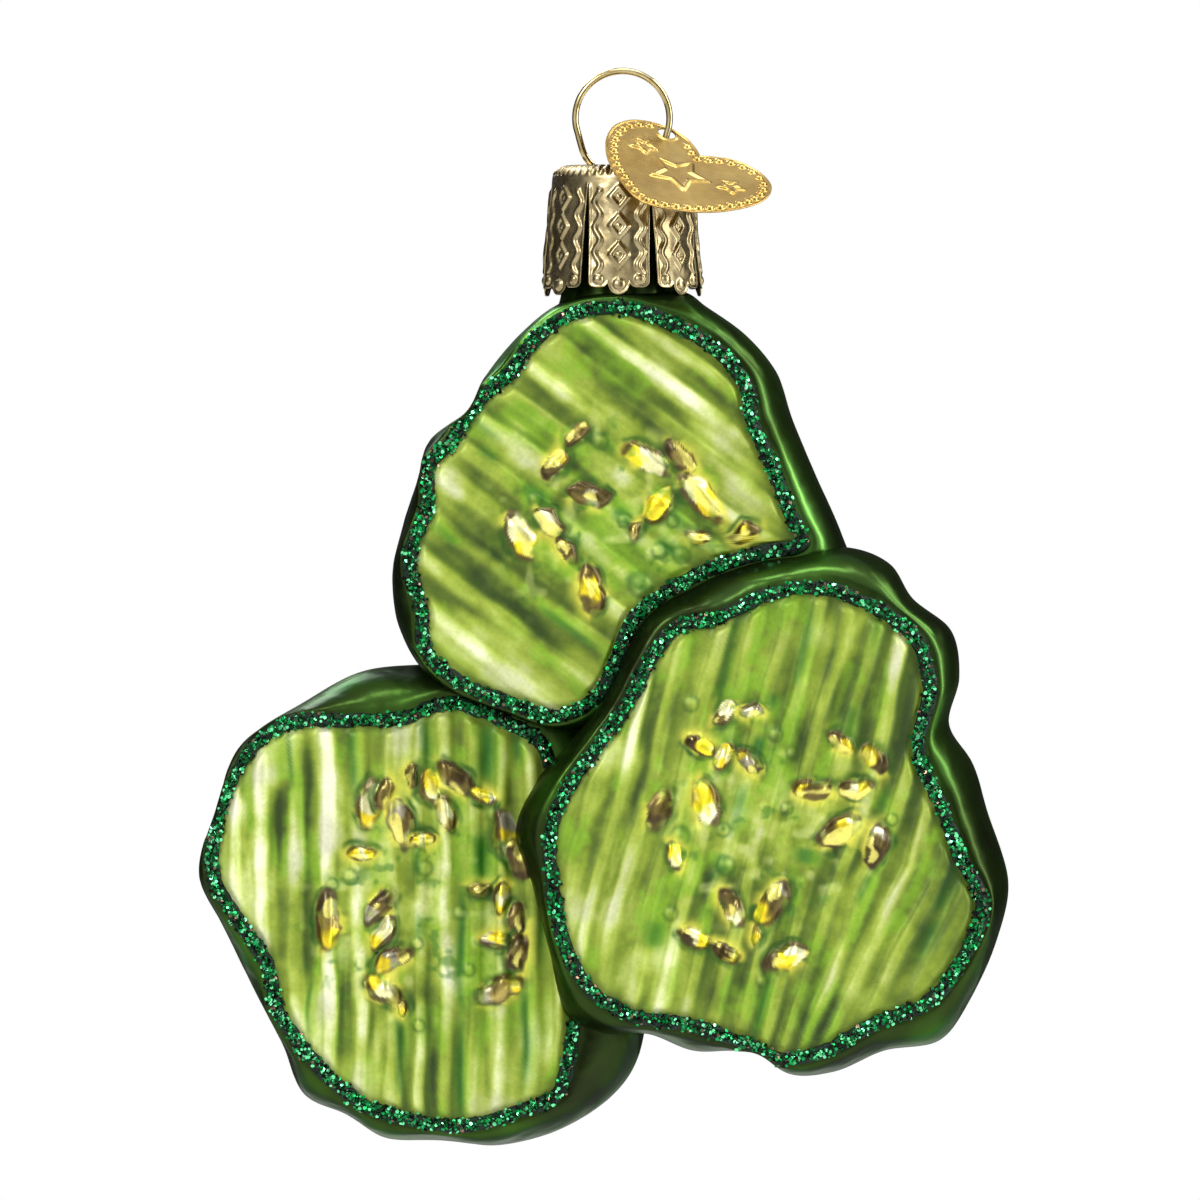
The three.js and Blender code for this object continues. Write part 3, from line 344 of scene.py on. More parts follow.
# Heart tag
HEART_HALF = [
    (0, 0), (0.9, 0.9), (2.4, 1.8), (4.1, 2.0), (5.8, 1.5), (7.2, 0.2), (7.9, -2.0),
    (7.6, -4.4), (6.7, -6.5), (5.4, -8.4), (3.6, -10.1), (1.6, -11.6), (0, -12.2),
]
TAG_LOOP_ANGLE = -20.0
TAG_FORWARD = 0.18
TAG_FACING = (0.5, -1.0, 1.65)
TAG_UP = (5.4, 4.6)
TAG_HOLE = (-3.9, 0.75)

NOISE_CELLS = 64


def linear(colour):
    """The shader's value of a colour given as it shows on a screen."""
    c = np.asarray(colour, float)
    return np.where(c <= 0.04045, c / 12.92, ((c + 0.055) / 1.055) ** 2.4)


def smooth_step(value, low, high):
    """0 up to the low value, 1 from the high one, and smooth between."""
    t = np.clip((np.asarray(value, float) - low) / (high - low), 0, 1)
    return t * t * (3 - 2 * t)


def bell(value, width):
    """1 where the value is 0, and falling off on both sides."""
    return np.exp(-((value / width) ** 2))


def drift(x, y, seed):
    """Smooth noise from about -1 to 1, with cells of size 1."""
    cells = NOISE_CELLS
    lattice = np.random.default_rng(seed).uniform(-1, 1, (cells, cells))
    x, y = np.broadcast_arrays(np.asarray(x, float), np.asarray(y, float))
    x0, y0 = np.floor(x).astype(int), np.floor(y).astype(int)
    fx, fy = x - x0, y - y0
    fx, fy = fx * fx * (3 - 2 * fx), fy * fy * (3 - 2 * fy)
    a = lattice[x0 % cells, y0 % cells]
    b = lattice[(x0 + 1) % cells, y0 % cells]
    c = lattice[x0 % cells, (y0 + 1) % cells]
    d = lattice[(x0 + 1) % cells, (y0 + 1) % cells]
    return (a * (1 - fx) + b * fx) * (1 - fy) + (c * (1 - fx) + d * fx) * fy


def layered(x, y, seed):
    """Three layers of smooth noise, each finer and weaker than the last."""
    finer = 0.5 * drift(2 * x, 2 * y, seed + 1) + 0.25 * drift(4 * x, 4 * y, seed + 2)
    return (drift(x, y, seed) + finer) / 1.4


def spline(points, closed, steps):
    """A centripetal Catmull-Rom curve through the points."""
    p = np.asarray(points, float)
    if closed:
        p = np.vstack([p[-1:], p, p[:2]])
    else:
        p = np.vstack([2 * p[:1] - p[1:2], p, 2 * p[-1:] - p[-2:-1]])
    made = []
    for a, b, c, d in zip(p, p[1:], p[2:], p[3:]):
        t1 = np.linalg.norm(b - a) ** 0.5
        t2 = t1 + np.linalg.norm(c - b) ** 0.5
        t3 = t2 + np.linalg.norm(d - c) ** 0.5
        t = np.linspace(t1, t2, steps, endpoint=False)[:, None]
        ab = (t1 - t) / t1 * a + t / t1 * b
        bc = (t2 - t) / (t2 - t1) * b + (t - t1) / (t2 - t1) * c
        cd = (t3 - t) / (t3 - t2) * c + (t - t2) / (t3 - t2) * d
        abc = (t2 - t) / t2 * ab + t / t2 * bc
        bcd = (t3 - t) / (t3 - t1) * bc + (t - t1) / (t3 - t1) * cd
        made.append((t2 - t) / (t2 - t1) * abc + (t - t1) / (t2 - t1) * bcd)
    if not closed:
        made.append(p[-2:-1])
    return np.vstack(made)


def offset_outline(outline, distance):
    """The closed outline moved outwards, or inwards where the distance is negative."""
    along = np.roll(outline, -1, 0) - np.roll(outline, 1, 0)
    along /= np.linalg.norm(along, axis=1)[:, None]
    x, z = outline.T
    turn = np.sign(np.sum(x * np.roll(z, -1) - np.roll(x, -1) * z))
    return outline + distance * turn * np.column_stack([along[:, 1], -along[:, 0]])


ANGLES = np.arange(RAYS) / RAYS * 2 * np.pi
COSINES, SINES = np.cos(ANGLES), np.sin(ANGLES)


def ray_lengths(outline, centre, angles=ANGLES):
    """Distances from the centre to the closed outline along the rays at these angles."""
    start = outline - centre
    edge = np.roll(outline, -1, 0) - outline
    dx, dy = np.cos(angles)[:, None], np.sin(angles)[:, None]
    spans = dx * edge[:, 1] - dy * edge[:, 0]
    along = (start[:, 0] * edge[:, 1] - start[:, 1] * edge[:, 0]) / spans
    share = (start[:, 0] * dy - start[:, 1] * dx) / spans
    hit = (share >= -1e-9) & (share <= 1 + 1e-9) & (along > 0)
    return np.where(hit, along, np.inf).min(1)


def at_angle(lengths, angle):
    """Ray lengths read at any angle."""
    where = np.mod(angle, 2 * np.pi) / (2 * np.pi) * RAYS
    low = np.floor(where).astype(int)
    part = where - low
    return lengths[low % RAYS] * (1 - part) + lengths[(low + 1) % RAYS] * part


def lay_out(name):
    """What the pieces of one slice share."""
    s = dict(SLICES[name])
    s["name"] = name
    s["centre"] = np.array(s["centre"])
    rind_line = spline(s["rind"], True, OUTLINE_STEPS)
    front_line = spline(s["band"], True, OUTLINE_STEPS)
    lines = {"front": front_line, "back": offset_outline(rind_line, -BACK_RIND_WIDTH)}
    s["widest"] = ray_lengths(rind_line, s["centre"])
    s["sides"] = {}
    for side, line in lines.items():
        outer = ray_lengths(offset_outline(line, BAND_WIDTH / 2), s["centre"])
        s["sides"][side] = {
            "outward": -1 if side == "front" else 1,
            "y": s["middle"] + (-FACE_DEPTH if side == "front" else FACE_DEPTH),
            "outer": np.minimum(outer, s["widest"] - 2 * LAND_MARGIN),
            "inner": ray_lengths(offset_outline(line, -BAND_WIDTH / 2), s["centre"]),
        }
    return s


def rind_radius(s, x, y, z):
    """The slice's reach from its centre at each point's angle and depth, or -1 where it has ended."""
    angle = np.arctan2(z - s["centre"][1], x - s["centre"][0])
    side = s["sides"]["front"]["outer"], s["sides"]["back"]["outer"]
    land = np.where(y < s["middle"], at_angle(side[0], angle), at_angle(side[1], angle)) + LAND_MARGIN
    widest = at_angle(s["widest"], angle)
    depth = np.abs(y - s["middle"]) / FACE_DEPTH
    return np.where(depth < 1, land + (widest - land) * np.sqrt(np.clip(1 - depth**2, 0, 1)), -1.0)


def inside(s, x, y, z, grow):
    """Whether points lie in the slice, grown by a distance."""
    far = np.hypot(x - s["centre"][0], z - s["centre"][1])
    return far < rind_radius(s, x, y, z) + grow


def placed(name, data):
    """A new object in the scene."""
    made = bpy.data.objects.new(name, data)
    bpy.context.scene.collection.objects.link(made)
    return made


def turn_out(mesh, merge=None):
    """Turns the normals of closed meshes out, after points nearer than the merge distance become one."""
    work = bmesh.new()
    work.from_mesh(mesh)
    if merge is not None:
        bmesh.ops.remove_doubles(work, verts=work.verts, dist=merge)
    bmesh.ops.recalc_face_normals(work, faces=work.faces)
    work.to_mesh(mesh)
    work.free()


def make_object(name, vertices, faces, materials, face_materials=None, attributes=None):
    """A mesh object from points in millimetres, with its normals turned out."""
    mesh = bpy.data.meshes.new(name)
    mesh.from_pydata((np.asarray(vertices) * MM).tolist(), [], faces)
    for material in materials:
        mesh.materials.append(material)
    if face_materials is not None:
        mesh.polygons.foreach_set("material_index", np.asarray(face_materials, np.int32))
    for key, values in (attributes or {}).items():
        values = np.asarray(values, np.float32)
        if values.ndim == 2:
            rgba = np.ones((len(values), 4), np.float32)
            rgba[:, :3] = values
            mesh.attributes.new(key, "FLOAT_COLOR", "POINT").data.foreach_set("color", rgba.ravel())
        else:
            mesh.attributes.new(key, "FLOAT", "POINT").data.foreach_set("value", values)
    mesh.validate()
    turn_out(mesh)
    mesh.polygons.foreach_set("use_smooth", [True] * len(mesh.polygons))
    mesh.update()
    return placed(name, mesh)


def ring_faces(first, second, count):
    """Quads between two closed rings of as many points."""
    i = np.arange(count)
    j = (i + 1) % count
    return np.column_stack([first + i, first + j, second + j, second + i]).tolist()


def fan_faces(centre, ring, count):
    """Triangles between a point and a closed ring."""
    i = np.arange(count)
    return np.column_stack([np.full(count, centre), ring + i, ring + (i + 1) % count]).tolist()


def cut(target, cutter):
    """Takes the cutter's solid out of the target's and deletes the cutter."""
    modifier = target.modifiers.new("cut", "BOOLEAN")
    modifier.operation = "DIFFERENCE"
    modifier.solver = "MANIFOLD"
    modifier.object = cutter
    bpy.context.view_layer.update()
    mesh = bpy.data.meshes.new_from_object(target.evaluated_get(bpy.context.evaluated_depsgraph_get()))
    target.modifiers.clear()
    old = target.data
    target.data = mesh
    mesh.name = old.name
    bpy.data.meshes.remove(old)
    bpy.data.objects.remove(cutter)


def turned(name, profile, segments, materials, closed=False):
    """A turned solid about the Z axis from (radius, z) points, closed on itself or from axis to axis."""
    angles = np.arange(segments) / segments * 2 * np.pi
    vertices, faces = [], []
    rings = [p for p in profile if p[0] > 0]
    for radius, z in rings:
        ring = [radius * np.cos(angles), radius * np.sin(angles), np.full(segments, z)]
        vertices += np.column_stack(ring).tolist()
    for k in range(len(rings) - 1):
        faces += ring_faces(k * segments, (k + 1) * segments, segments)
    if closed:
        faces += ring_faces((len(rings) - 1) * segments, 0, segments)
    else:
        top = len(vertices)
        vertices += [[0, 0, profile[0][1]], [0, 0, profile[-1][1]]]
        faces += fan_faces(top, 0, segments) + fan_faces(top + 1, (len(rings) - 1) * segments, segments)
    return make_object(name, vertices, faces, materials)


# Materials

def new_material(name):
    material = bpy.data.materials.new(name)
    material.use_nodes = True
    tree = material.node_tree
    return material, tree, tree.nodes["Principled BSDF"]


def plug(tree, made, inputs):
    """Links sockets to a node's inputs, or sets the inputs to plain values."""
    for key, value in inputs.items():
        if isinstance(value, bpy.types.NodeSocket):
            tree.links.new(value, made.inputs[key])
        else:
            made.inputs[key].default_value = value


def node(tree, kind, inputs=None, **settings):
    made = tree.nodes.new(kind)
    for key, value in settings.items():
        setattr(made, key, value)
    plug(tree, made, inputs or {})
    return made


def mesh_value(tree, name, output="Fac"):
    """An attribute of the mesh."""
    return node(tree, "ShaderNodeAttribute", attribute_name=name).outputs[output]


def noise(tree, scale, detail=3.0, roughness=0.5):
    """Noise in the object's own coordinates. The scale is in cells per metre."""
    place = node(tree, "ShaderNodeTexCoord").outputs["Object"]
    inputs = {"Vector": place, "Scale": scale, "Detail": detail, "Roughness": roughness}
    return node(tree, "ShaderNodeTexNoise", inputs).outputs["Fac"]


def ramp(tree, factor, stops):
    """A colour read from a ramp of (position, colour) stops."""
    made = node(tree, "ShaderNodeValToRGB", {"Fac": factor})
    elements = made.color_ramp.elements
    while len(elements) < len(stops):
        elements.new(0.5)
    for element, (position, colour) in zip(elements, stops):
        element.position = position
        element.color = (*linear(colour), 1)
    return made.outputs["Color"]


def span(tree, value, low, high):
    """The value, from 0 to 1, spread from low to high."""
    made = node(tree, "ShaderNodeMapRange", {"Value": value, "To Min": low, "To Max": high})
    return made.outputs["Result"]


def bump(tree, height, strength, distance, under=None):
    inputs = {"Height": height, "Strength": strength, "Distance": distance}
    if under is not None:
        inputs["Normal"] = under
    return node(tree, "ShaderNodeBump", inputs).outputs["Normal"]


def tinted(tree, colour, factor):
    """The colour made darker or lighter by a grey factor."""
    inputs = {0: 1.0, 6: colour, 7: factor}
    return node(tree, "ShaderNodeMix", inputs, data_type="RGBA", blend_type="MULTIPLY").outputs[2]


def face_material():
    """Pearly painted and silvered glass: its paint, with its painted highlights and shade, and how much of
    it is seed, are read from the mesh.
    """
    material, tree, shader = new_material("pickle_face")
    mottle = ramp(tree, noise(tree, 2600, 4.0, 0.6), [(0.25, (0.90, 0.91, 0.88)), (0.75, (1.0, 1.0, 1.0))])
    seed = mesh_value(tree, "seed")
    waves = bump(tree, noise(tree, 420, 2.0), 0.35, 0.00016)
    plug(tree, shader, {
        "Base Color": tinted(tree, mesh_value(tree, "paint", "Color"), mottle),
        "Metallic": span(tree, seed, 0.25, 0.55),
        "Roughness": span(tree, seed, 0.48, 0.27),
        "Specular IOR Level": 0.25,
        "Coat Weight": 0.1,
        "Coat Roughness": 0.3,
        "Normal": bump(tree, noise(tree, 2200, 3.0), 0.25, 0.00003, waves),
    })
    return material


def rind_material():
    """Dark green lacquer over silvered glass, with a painted highlight where the mesh carries one."""
    material, tree, shader = new_material("dark_green_lacquer")
    colour = ramp(tree, noise(tree, 130, 2.0), [
        (0.30, (0.14, 0.17, 0.09)), (0.52, (0.17, 0.24, 0.09)), (0.72, (0.22, 0.36, 0.11)),
    ])
    blend = {0: span(tree, mesh_value(tree, "bright"), 0.0, 0.85), 6: colour, 7: (*linear(THIN_LACQUER), 1)}
    plug(tree, shader, {
        "Base Color": node(tree, "ShaderNodeMix", blend, data_type="RGBA").outputs[2],
        "Metallic": 0.85,
        "Roughness": 0.28,
        "Specular Tint": (0.3, 0.36, 0.28, 1),
        "Normal": bump(tree, noise(tree, 260, 2.0), 0.85, 0.0003),
    })
    return material


def silver_material():
    """Silvered glass inside the neck."""
    material, tree, shader = new_material("silvered_inside")
    colour = ramp(tree, noise(tree, 300, 3.0), [(0.3, (0.30, 0.32, 0.30)), (0.7, (0.62, 0.64, 0.60))])
    plug(tree, shader, {"Base Color": colour, "Metallic": 1.0, "Roughness": 0.25})
    return material


def glitter_material():
    """Loose flakes: each has its own colour on the mesh, some of them painted glints and painted shade."""
    material, tree, shader = new_material("emerald_glitter")
    grain = ramp(tree, noise(tree, 5200, 2.0), [(0.3, (0.82, 0.84, 0.82)), (0.7, (1.0, 1.0, 1.0))])
    colour = tinted(tree, mesh_value(tree, "flake", "Color"), grain)
    plug(tree, shader, {"Base Color": colour, "Metallic": 0.75, "Roughness": 0.22})
    return material


def glue_material():
    """Clear glue tinted by the flakes sunk in it."""
    material, tree, shader = new_material("glitter_glue")
    colour = ramp(tree, noise(tree, 3600, 3.0, 0.7), [
        (0.35, (0.01, 0.04, 0.02)), (0.5, (0.01, 0.08, 0.04)),
        (0.62, (0.01, 0.22, 0.11)), (0.72, (0.01, 0.06, 0.03)),
    ])
    grain = bump(tree, noise(tree, 3600, 3.0, 0.7), 1.0, 0.0002)
    plug(tree, shader, {
        "Base Color": colour, "Roughness": 0.45, "Specular IOR Level": 0.25, "Normal": grain,
    })
    return material


def metal_material(name, dark, light, roughness, scale, dent):
    """Thin sheet or wire: colour and roughness vary a little, with faint dents."""
    material, tree, shader = new_material(name)
    cloud = noise(tree, scale, 3.0, 0.6)
    plug(tree, shader, {
        "Base Color": ramp(tree, cloud, [(0.3, dark), (0.7, light)]),
        "Metallic": 1.0,
        "Roughness": span(tree, noise(tree, 4 * scale), roughness - 0.06, roughness + 0.10),
        "Normal": bump(tree, cloud, 0.4, dent),
    })
    return material


FACE = face_material()
RIND = rind_material()
SILVER = silver_material()
GLITTER = glitter_material()
GLUE = glue_material()
PEWTER = metal_material("champagne_pewter", (0.52, 0.46, 0.32), (0.70, 0.64, 0.49), 0.26, 500, 0.0001)
WIRE = metal_material("pale_gold_wire", (0.66, 0.58, 0.38), (0.82, 0.76, 0.57), 0.11, 700, 0.00002)
BRASS = metal_material("stamped_brass", (0.63, 0.51, 0.26), (0.73, 0.62, 0.36), 0.26, 260, 0.00003)


# Faces of the slices

def ridge_frame(s, x, z):
    """Distances across and along the ridges, from the slice's centre."""
    slope = math.radians(s["slope"])
    dx, dz = x - s["centre"][0], z - s["centre"][1]
    along = dx * math.cos(slope) + dz * math.sin(slope)
    across = dx * math.sin(slope) - dz * math.cos(slope)
    if s["slope"] < 0:
        across = -across
    lean = s["lean"] * smooth_step(across, 2, 12) * np.minimum(along, 0)
    return across - lean, along


def seed_shape(x, z, seed):
    """(place along it, place across it, a measure that is 1 at its edge, distance outside the edge)."""
    seed_x, seed_z, angle, length = seed[:4]
    turn = math.radians(angle)
    half, wide = length / 2, min(SEED_MAX_WIDTH, length * SEED_SLIMNESS) / 2
    a = (x - seed_x) * math.cos(turn) + (z - seed_z) * math.sin(turn)
    b = -(x - seed_x) * math.sin(turn) + (z - seed_z) * math.cos(turn)
    a = a + 0.2 * drift(b * 1.3 + seed_x, a * 0.6, 53)
    b = b + 0.24 * drift(a * 0.9 + seed_z, b * 0.5, 59)
    k = (np.abs(a / half) ** 2.1 + np.abs(b / wide) ** 2.1) ** (1 / 2.1)
    outside = np.hypot(a, b) * (1 - 1 / np.maximum(k, 1e-6))
    return a / half, b / wide, k, outside


def mixed(paint, colour, share):
    """The paint moved towards a colour by each point's share."""
    return paint + (np.asarray(colour) - paint) * np.clip(share, 0, 1)[:, None]


def ridge_marks(s, across, along, kind, fine, number):
    """How strongly the listed streaks of one kind show at each point."""
    total = np.zeros(len(across))
    for patch_x, patch_z, wide, long, strength in s[kind]:
        pa, pl = ridge_frame(s, np.array([patch_x]), np.array([patch_z]))
        beside = across - pa + 0.25 * drift(along / 3, pa, number + 29)
        mask = np.exp(-((beside / (SPREAD[kind] * wide)) ** 2) - ((along - pl) / long) ** 4)
        mask *= 1 + 0.25 * fine + 0.35 * drift(across / 1.2, along / 3.5, number + 31)
        total = np.maximum(total, strength * mask)
    return total


def add_bump(bump_place, x, z, height, paint):
    """A low round bump, with a painted highlight on its upper left and painted shade on its lower right."""
    bump_x, bump_z, radius = bump_place
    dx, dz = (x - bump_x) / (1.25 * radius), (z - bump_z) / (1.25 * radius)
    height += BUMP_HEIGHT * np.clip(1 - np.hypot(dx, dz) ** 2, 0, 1)
    paint = mixed(paint, BUMP_SHADE, 0.45 * bell(np.hypot(dx - 0.2, dz + 0.2) - 1.05, 0.32))
    return mixed(paint, BUMP_LIGHT, 0.5 * bell(np.hypot(dx + 0.2, dz - 0.2), 0.6))


def seed_tone(seed, place, side, k, lit, number):
    """The colours on a seed: its listed tones along it, a painted highlight on its core, and brown edges
    that are partly painted shade, wider on the side away from the light.
    """
    tones = [np.array(TONES[t]) for t in seed[4].split()]
    wander = 0.35 * drift(place * 2 + seed[1], side * 1.5 + seed[0], number + 41)
    where = np.clip(place + wander, -1, 1)
    tone = np.tile(tones[1], (len(place), 1))
    tone = mixed(tone, tones[0], smooth_step(-where, 0.15, 0.45))
    tone = mixed(tone, tones[2], smooth_step(where, 0.15, 0.45))
    lines = layered(side * 1.8 + seed[1], place * 1.1 + seed[0], number + 47)
    tone = np.clip(tone * (1 + 0.25 * lines)[:, None], 0, 1)
    spark = 0.35 + drift(place * 1.4 + seed[0], side * 1.2, number + 43)
    spark -= 1.1 * np.abs(side - 0.3 * lit) + 0.2 * np.abs(place)
    tone = mixed(tone, SEED_SPARK, 0.85 * smooth_step(spark, 0.0, 0.25))
    ragged = 0.22 * drift(place * 2 + 7, side * 2, number + 49)
    return mixed(tone, SEED_BARK, 0.85 * smooth_step(k + ragged - 0.3 * lit * side, 0.72, 0.92))


def add_seed(seed, x, z, height, paint, share, number):
    """A domed seed, with a painted shadow, a dark green line of painted shade and a painted yellow
    highlight in the face beside it.
    """
    place, side, k, outside = seed_shape(x, z, seed)
    beyond = np.maximum(outside, 0)
    near = (k > 1) & (outside < 1.6)
    # The side of each seed that is painted as lit; the painted shade falls on the other side
    lit = 1 if drift(3.7 * seed[0], 2.9 * seed[1], number + 57) > 0 else -1
    height += SEED_HEIGHT * np.clip(1 - k**2, 0, 1) ** 0.75
    height -= 0.03 * bell(outside - 0.25, 0.25) * near
    tone = seed_tone(seed, place, side, k, lit, number)

    patches = drift(x / 0.7, z / 0.7, number + 51)
    # Painted shadow on the face beside the seed, stronger on the unlit side
    strength = np.clip(0.45 - 0.35 * lit * np.clip(side, -1, 1) + 0.5 * patches, 0, 0.8)
    paint = mixed(paint, SEED_GLOOM, bell(beyond, 0.4) * near * strength)
    # Painted yellow highlight spilling from the seed onto the face, stronger on the lit side
    strength = smooth_step(drift(x / 1.3, z / 1.3, number + 55) + 0.3 * lit * side, 0.0, 0.5)
    paint = mixed(paint, SEED_SPILL, 0.8 * bell(beyond, 0.65) * near * strength)
    # A dark green line of painted shade beside the seed, on its unlit side
    strength = smooth_step(-lit * side + 0.3 * patches, 0.1, 0.9) * near
    strength = strength * np.clip(0.35 + 0.6 * drift(x, z, number + 61), 0, 0.8)
    paint = mixed(paint, SEED_LINE, bell(outside - 0.45 - 0.15 * patches, 0.2) * strength)
    veil = smooth_step(drift(x / 0.9 + 5, z / 0.9, number + 63), 0.25, 0.7) * smooth_step(k, 0.3, 0.9)
    body = smooth_step(1.17 + 0.16 * patches - k, 0.0, 0.24) * (1 - 0.65 * veil)
    np.maximum(share, body * smooth_step(1.05 - k, 0.0, 0.2), out=share)
    return mixed(paint, tone, body)


def face_fields(s, x, z, edge_distance):
    """(height over the land, paint, how much is seed) at points given as they lie on the front face.

    Each noise has its own number, which is added to the slice's.
    """
    across, along = ridge_frame(s, x, z)
    number = sum(map(ord, s["name"]))
    bend = 0.4 * drift(across / 4 + 9, along / 9, number)
    bend += 0.16 * drift(across / 1.4, along / 4, number + 1)
    crests = np.array(s["crests"])
    phase = np.interp(across + bend, crests[:, 0], np.arange(len(crests)))
    power = np.interp(across + bend, crests[:, 0], crests[:, 1])
    turn = 2 * np.pi * phase
    crest = 0.5 + 0.5 * np.cos(turn + 0.55 * np.sin(turn))
    bent = across + 0.5 * bend
    streak = layered(bent / 1.7, along / 9, number + 5)
    fine = layered(bent / 0.5, along / 3.5, number + 17)
    broad = layered(across / 2.4, along / 6, number + 9)
    blotch = layered(x / 2.2, z / 2.2, number + 13)
    speck = layered(x / 0.8, z / 0.8, number + 19)
    from_centre = np.hypot(x - s["centre"][0], z - s["centre"][1])
    centre = bell(from_centre, CORE_RADIUS)

    # The relief
    tall = RIDGE_HEIGHT * (0.82 + 0.4 * broad) * (1 - 0.5 * centre)
    lumps = 0.05 * blotch + 0.10 * centre * layered(x / 1.6, z / 1.6, number + 23)
    plateau = smooth_step(crest + 0.12 * broad, 0.0, 0.62)
    relief = RIDGE_BASE + tall * (0.5 * plateau + 0.3 * crest) + 0.02 * streak + lumps
    height = relief * smooth_step(edge_distance, 0.0, 0.7) + 0.02

    # How light the paint is: painted highlights on the crests and along the listed highlight streaks, and
    # painted shade in the grooves and along the listed shade streaks, over tone that varies at random.
    glow, shade, emerald = (ridge_marks(s, across, along, kind, fine, number) for kind in SPREAD)
    fill = smooth_step(drift(across / 4, along / 8, number + 65) + s["fill"] + 1.4 * glow, -0.15, 0.5)
    ridges = 0.34 * plateau + 0.24 * fill * (1 - plateau) + 0.10 * crest**3
    ridges = ridges * (0.4 + 0.8 * power) * (1 + 0.5 * broad)
    pool = 0.29 + 0.36 * layered(x / 1.8, z / 1.8, number + 27) + 0.12 * crest
    # Painted light: the slice's lift makes the whole face lighter or darker, and the face is painted
    # lighter along its left edge, on the key lamp's side.
    leftward = (s["centre"][0] - x) / np.maximum(from_centre, 0.1)
    light = 0.20 + s["lift"] + ridges + (pool - ridges) * 0.55 * centre
    light += 0.15 * streak + 0.04 * fine + 0.10 * blotch + 0.05 * speck
    light += 0.12 * drift(x / 6, z / 6, number + 67) + 0.16 * leftward * bell(edge_distance, 1.6)
    light = np.clip(light + 0.38 * glow - 0.42 * shade, 0, 1)
    paint = np.column_stack([np.interp(light, PAINT_LIGHTS, channel) for channel in zip(*PAINT_COLOURS)])

    # Colours laid over it
    middle = np.clip(1 - np.abs(light - 0.42) / 0.4, 0, 1)
    fresh = smooth_step(drift(bent / 1.8, along / 5, number + 21) + 0.5 * speck + 0.25 * centre, 0.1, 0.7)
    paint = mixed(paint, FRESH, 0.5 * fresh * middle)
    # Painted shade: dark lines along one side of the grooves, broken into runs
    edge_run = smooth_step(drift(across / 3, along / 8, number + 33) + 0.25 * speck, -0.4, 0.4)
    edge_run = edge_run * (1 - 0.7 * centre) * (1 - 0.8 * fill)
    paint = mixed(paint, GROOVE, 0.55 * bell(phase % 1 - 0.35, 0.11) * edge_run)
    # Pearly paint laid only where the paint is light: partly pearl and partly a painted sheen on the
    # highlights
    pearl = smooth_step(drift(x / 3, z / 3, number + 25), 0.1, 0.8) * smooth_step(light, 0.35, 0.8)
    paint = mixed(paint, PEARL, 0.55 * pearl)
    paint = mixed(paint, LIME, 0.5 * ridge_marks(s, across - 0.6, along, "emerald", fine, number))
    paint = mixed(paint, EMERALD, 0.8 * emerald)
    # Painted shade in dark blotches and painted highlight in pale ones, round the seeds in the middle
    hollow = smooth_step(layered(x / 1.3, z / 1.3, number + 35), 0.3, 0.7) * smooth_step(centre, 0.15, 0.6)
    paint = mixed(paint, HOLLOW, 0.5 * hollow)
    gleam = smooth_step(drift(x / 1.2, z / 1.2, number + 37), 0.3, 0.9) * smooth_step(centre, 0.1, 0.6)
    paint = mixed(paint, GLEAM, 0.45 * gleam)
    paint = mixed(paint, RIM_SHADE, 0.35 * (1 - smooth_step(edge_distance, -0.1, 0.5)))

    for bump_place in s["bumps"]:
        paint = add_bump(bump_place, x, z, height, paint)
    seed_share = np.zeros(len(x))
    for seed in s["seeds"]:
        paint = add_seed(seed, x, z, height, paint, seed_share, number)
    return height, np.clip(paint, 0, 1), seed_share


RING_SHARES = np.concatenate([np.linspace(0, 0.8, 85)[1:], np.linspace(0.8, 1, 17)[1:]])


def face_panel(s, side):
    """One painted face: ridges and seeds in relief, on a thin panel whose edge lies under the glitter."""
    place = s["sides"][side]
    edge = place["inner"] + PANEL_OVERLAP
    reach = (edge[None, :] * RING_SHARES[:, None]).ravel()
    radius = np.concatenate([[0.0], reach])
    cosine = np.concatenate([[1.0], np.tile(COSINES, len(RING_SHARES))])
    sine = np.concatenate([[0.0], np.tile(SINES, len(RING_SHARES))])
    gap = np.concatenate([[edge.min()], np.tile(edge - PANEL_OVERLAP, len(RING_SHARES)) - reach])
    x, z = s["centre"][0] + radius * cosine, s["centre"][1] + radius * sine
    front_x = x if side == "front" else 2 * s["centre"][0] - x
    height, paint, seed = face_fields(s, front_x, z, gap)
    y = place["y"] + place["outward"] * height
    under = place["y"] - place["outward"] * PANEL_DEPTH
    rim = slice(len(x) - RAYS, len(x))
    vertices = np.vstack([
        np.column_stack([x, y, z]),
        np.column_stack([x[rim], np.full(RAYS, under), z[rim]]),
        [[s["centre"][0], under, s["centre"][1]]],
    ])
    faces = fan_faces(0, 1, RAYS)
    for ring in range(len(RING_SHARES)):
        faces += ring_faces(1 + ring * RAYS, 1 + (ring + 1) * RAYS, RAYS)
    faces += fan_faces(len(vertices) - 1, len(vertices) - 1 - RAYS, RAYS)
    extra = len(vertices) - len(x)
    attributes = {
        "paint": np.vstack([linear(paint), np.tile(linear(RIM_SHADE), (extra, 1))]),
        "seed": np.concatenate([seed, np.zeros(extra)]),
    }
    name = f"{s['name']}_slice_{side}_face"
    return make_object(name, vertices, faces, [FACE], attributes=attributes)


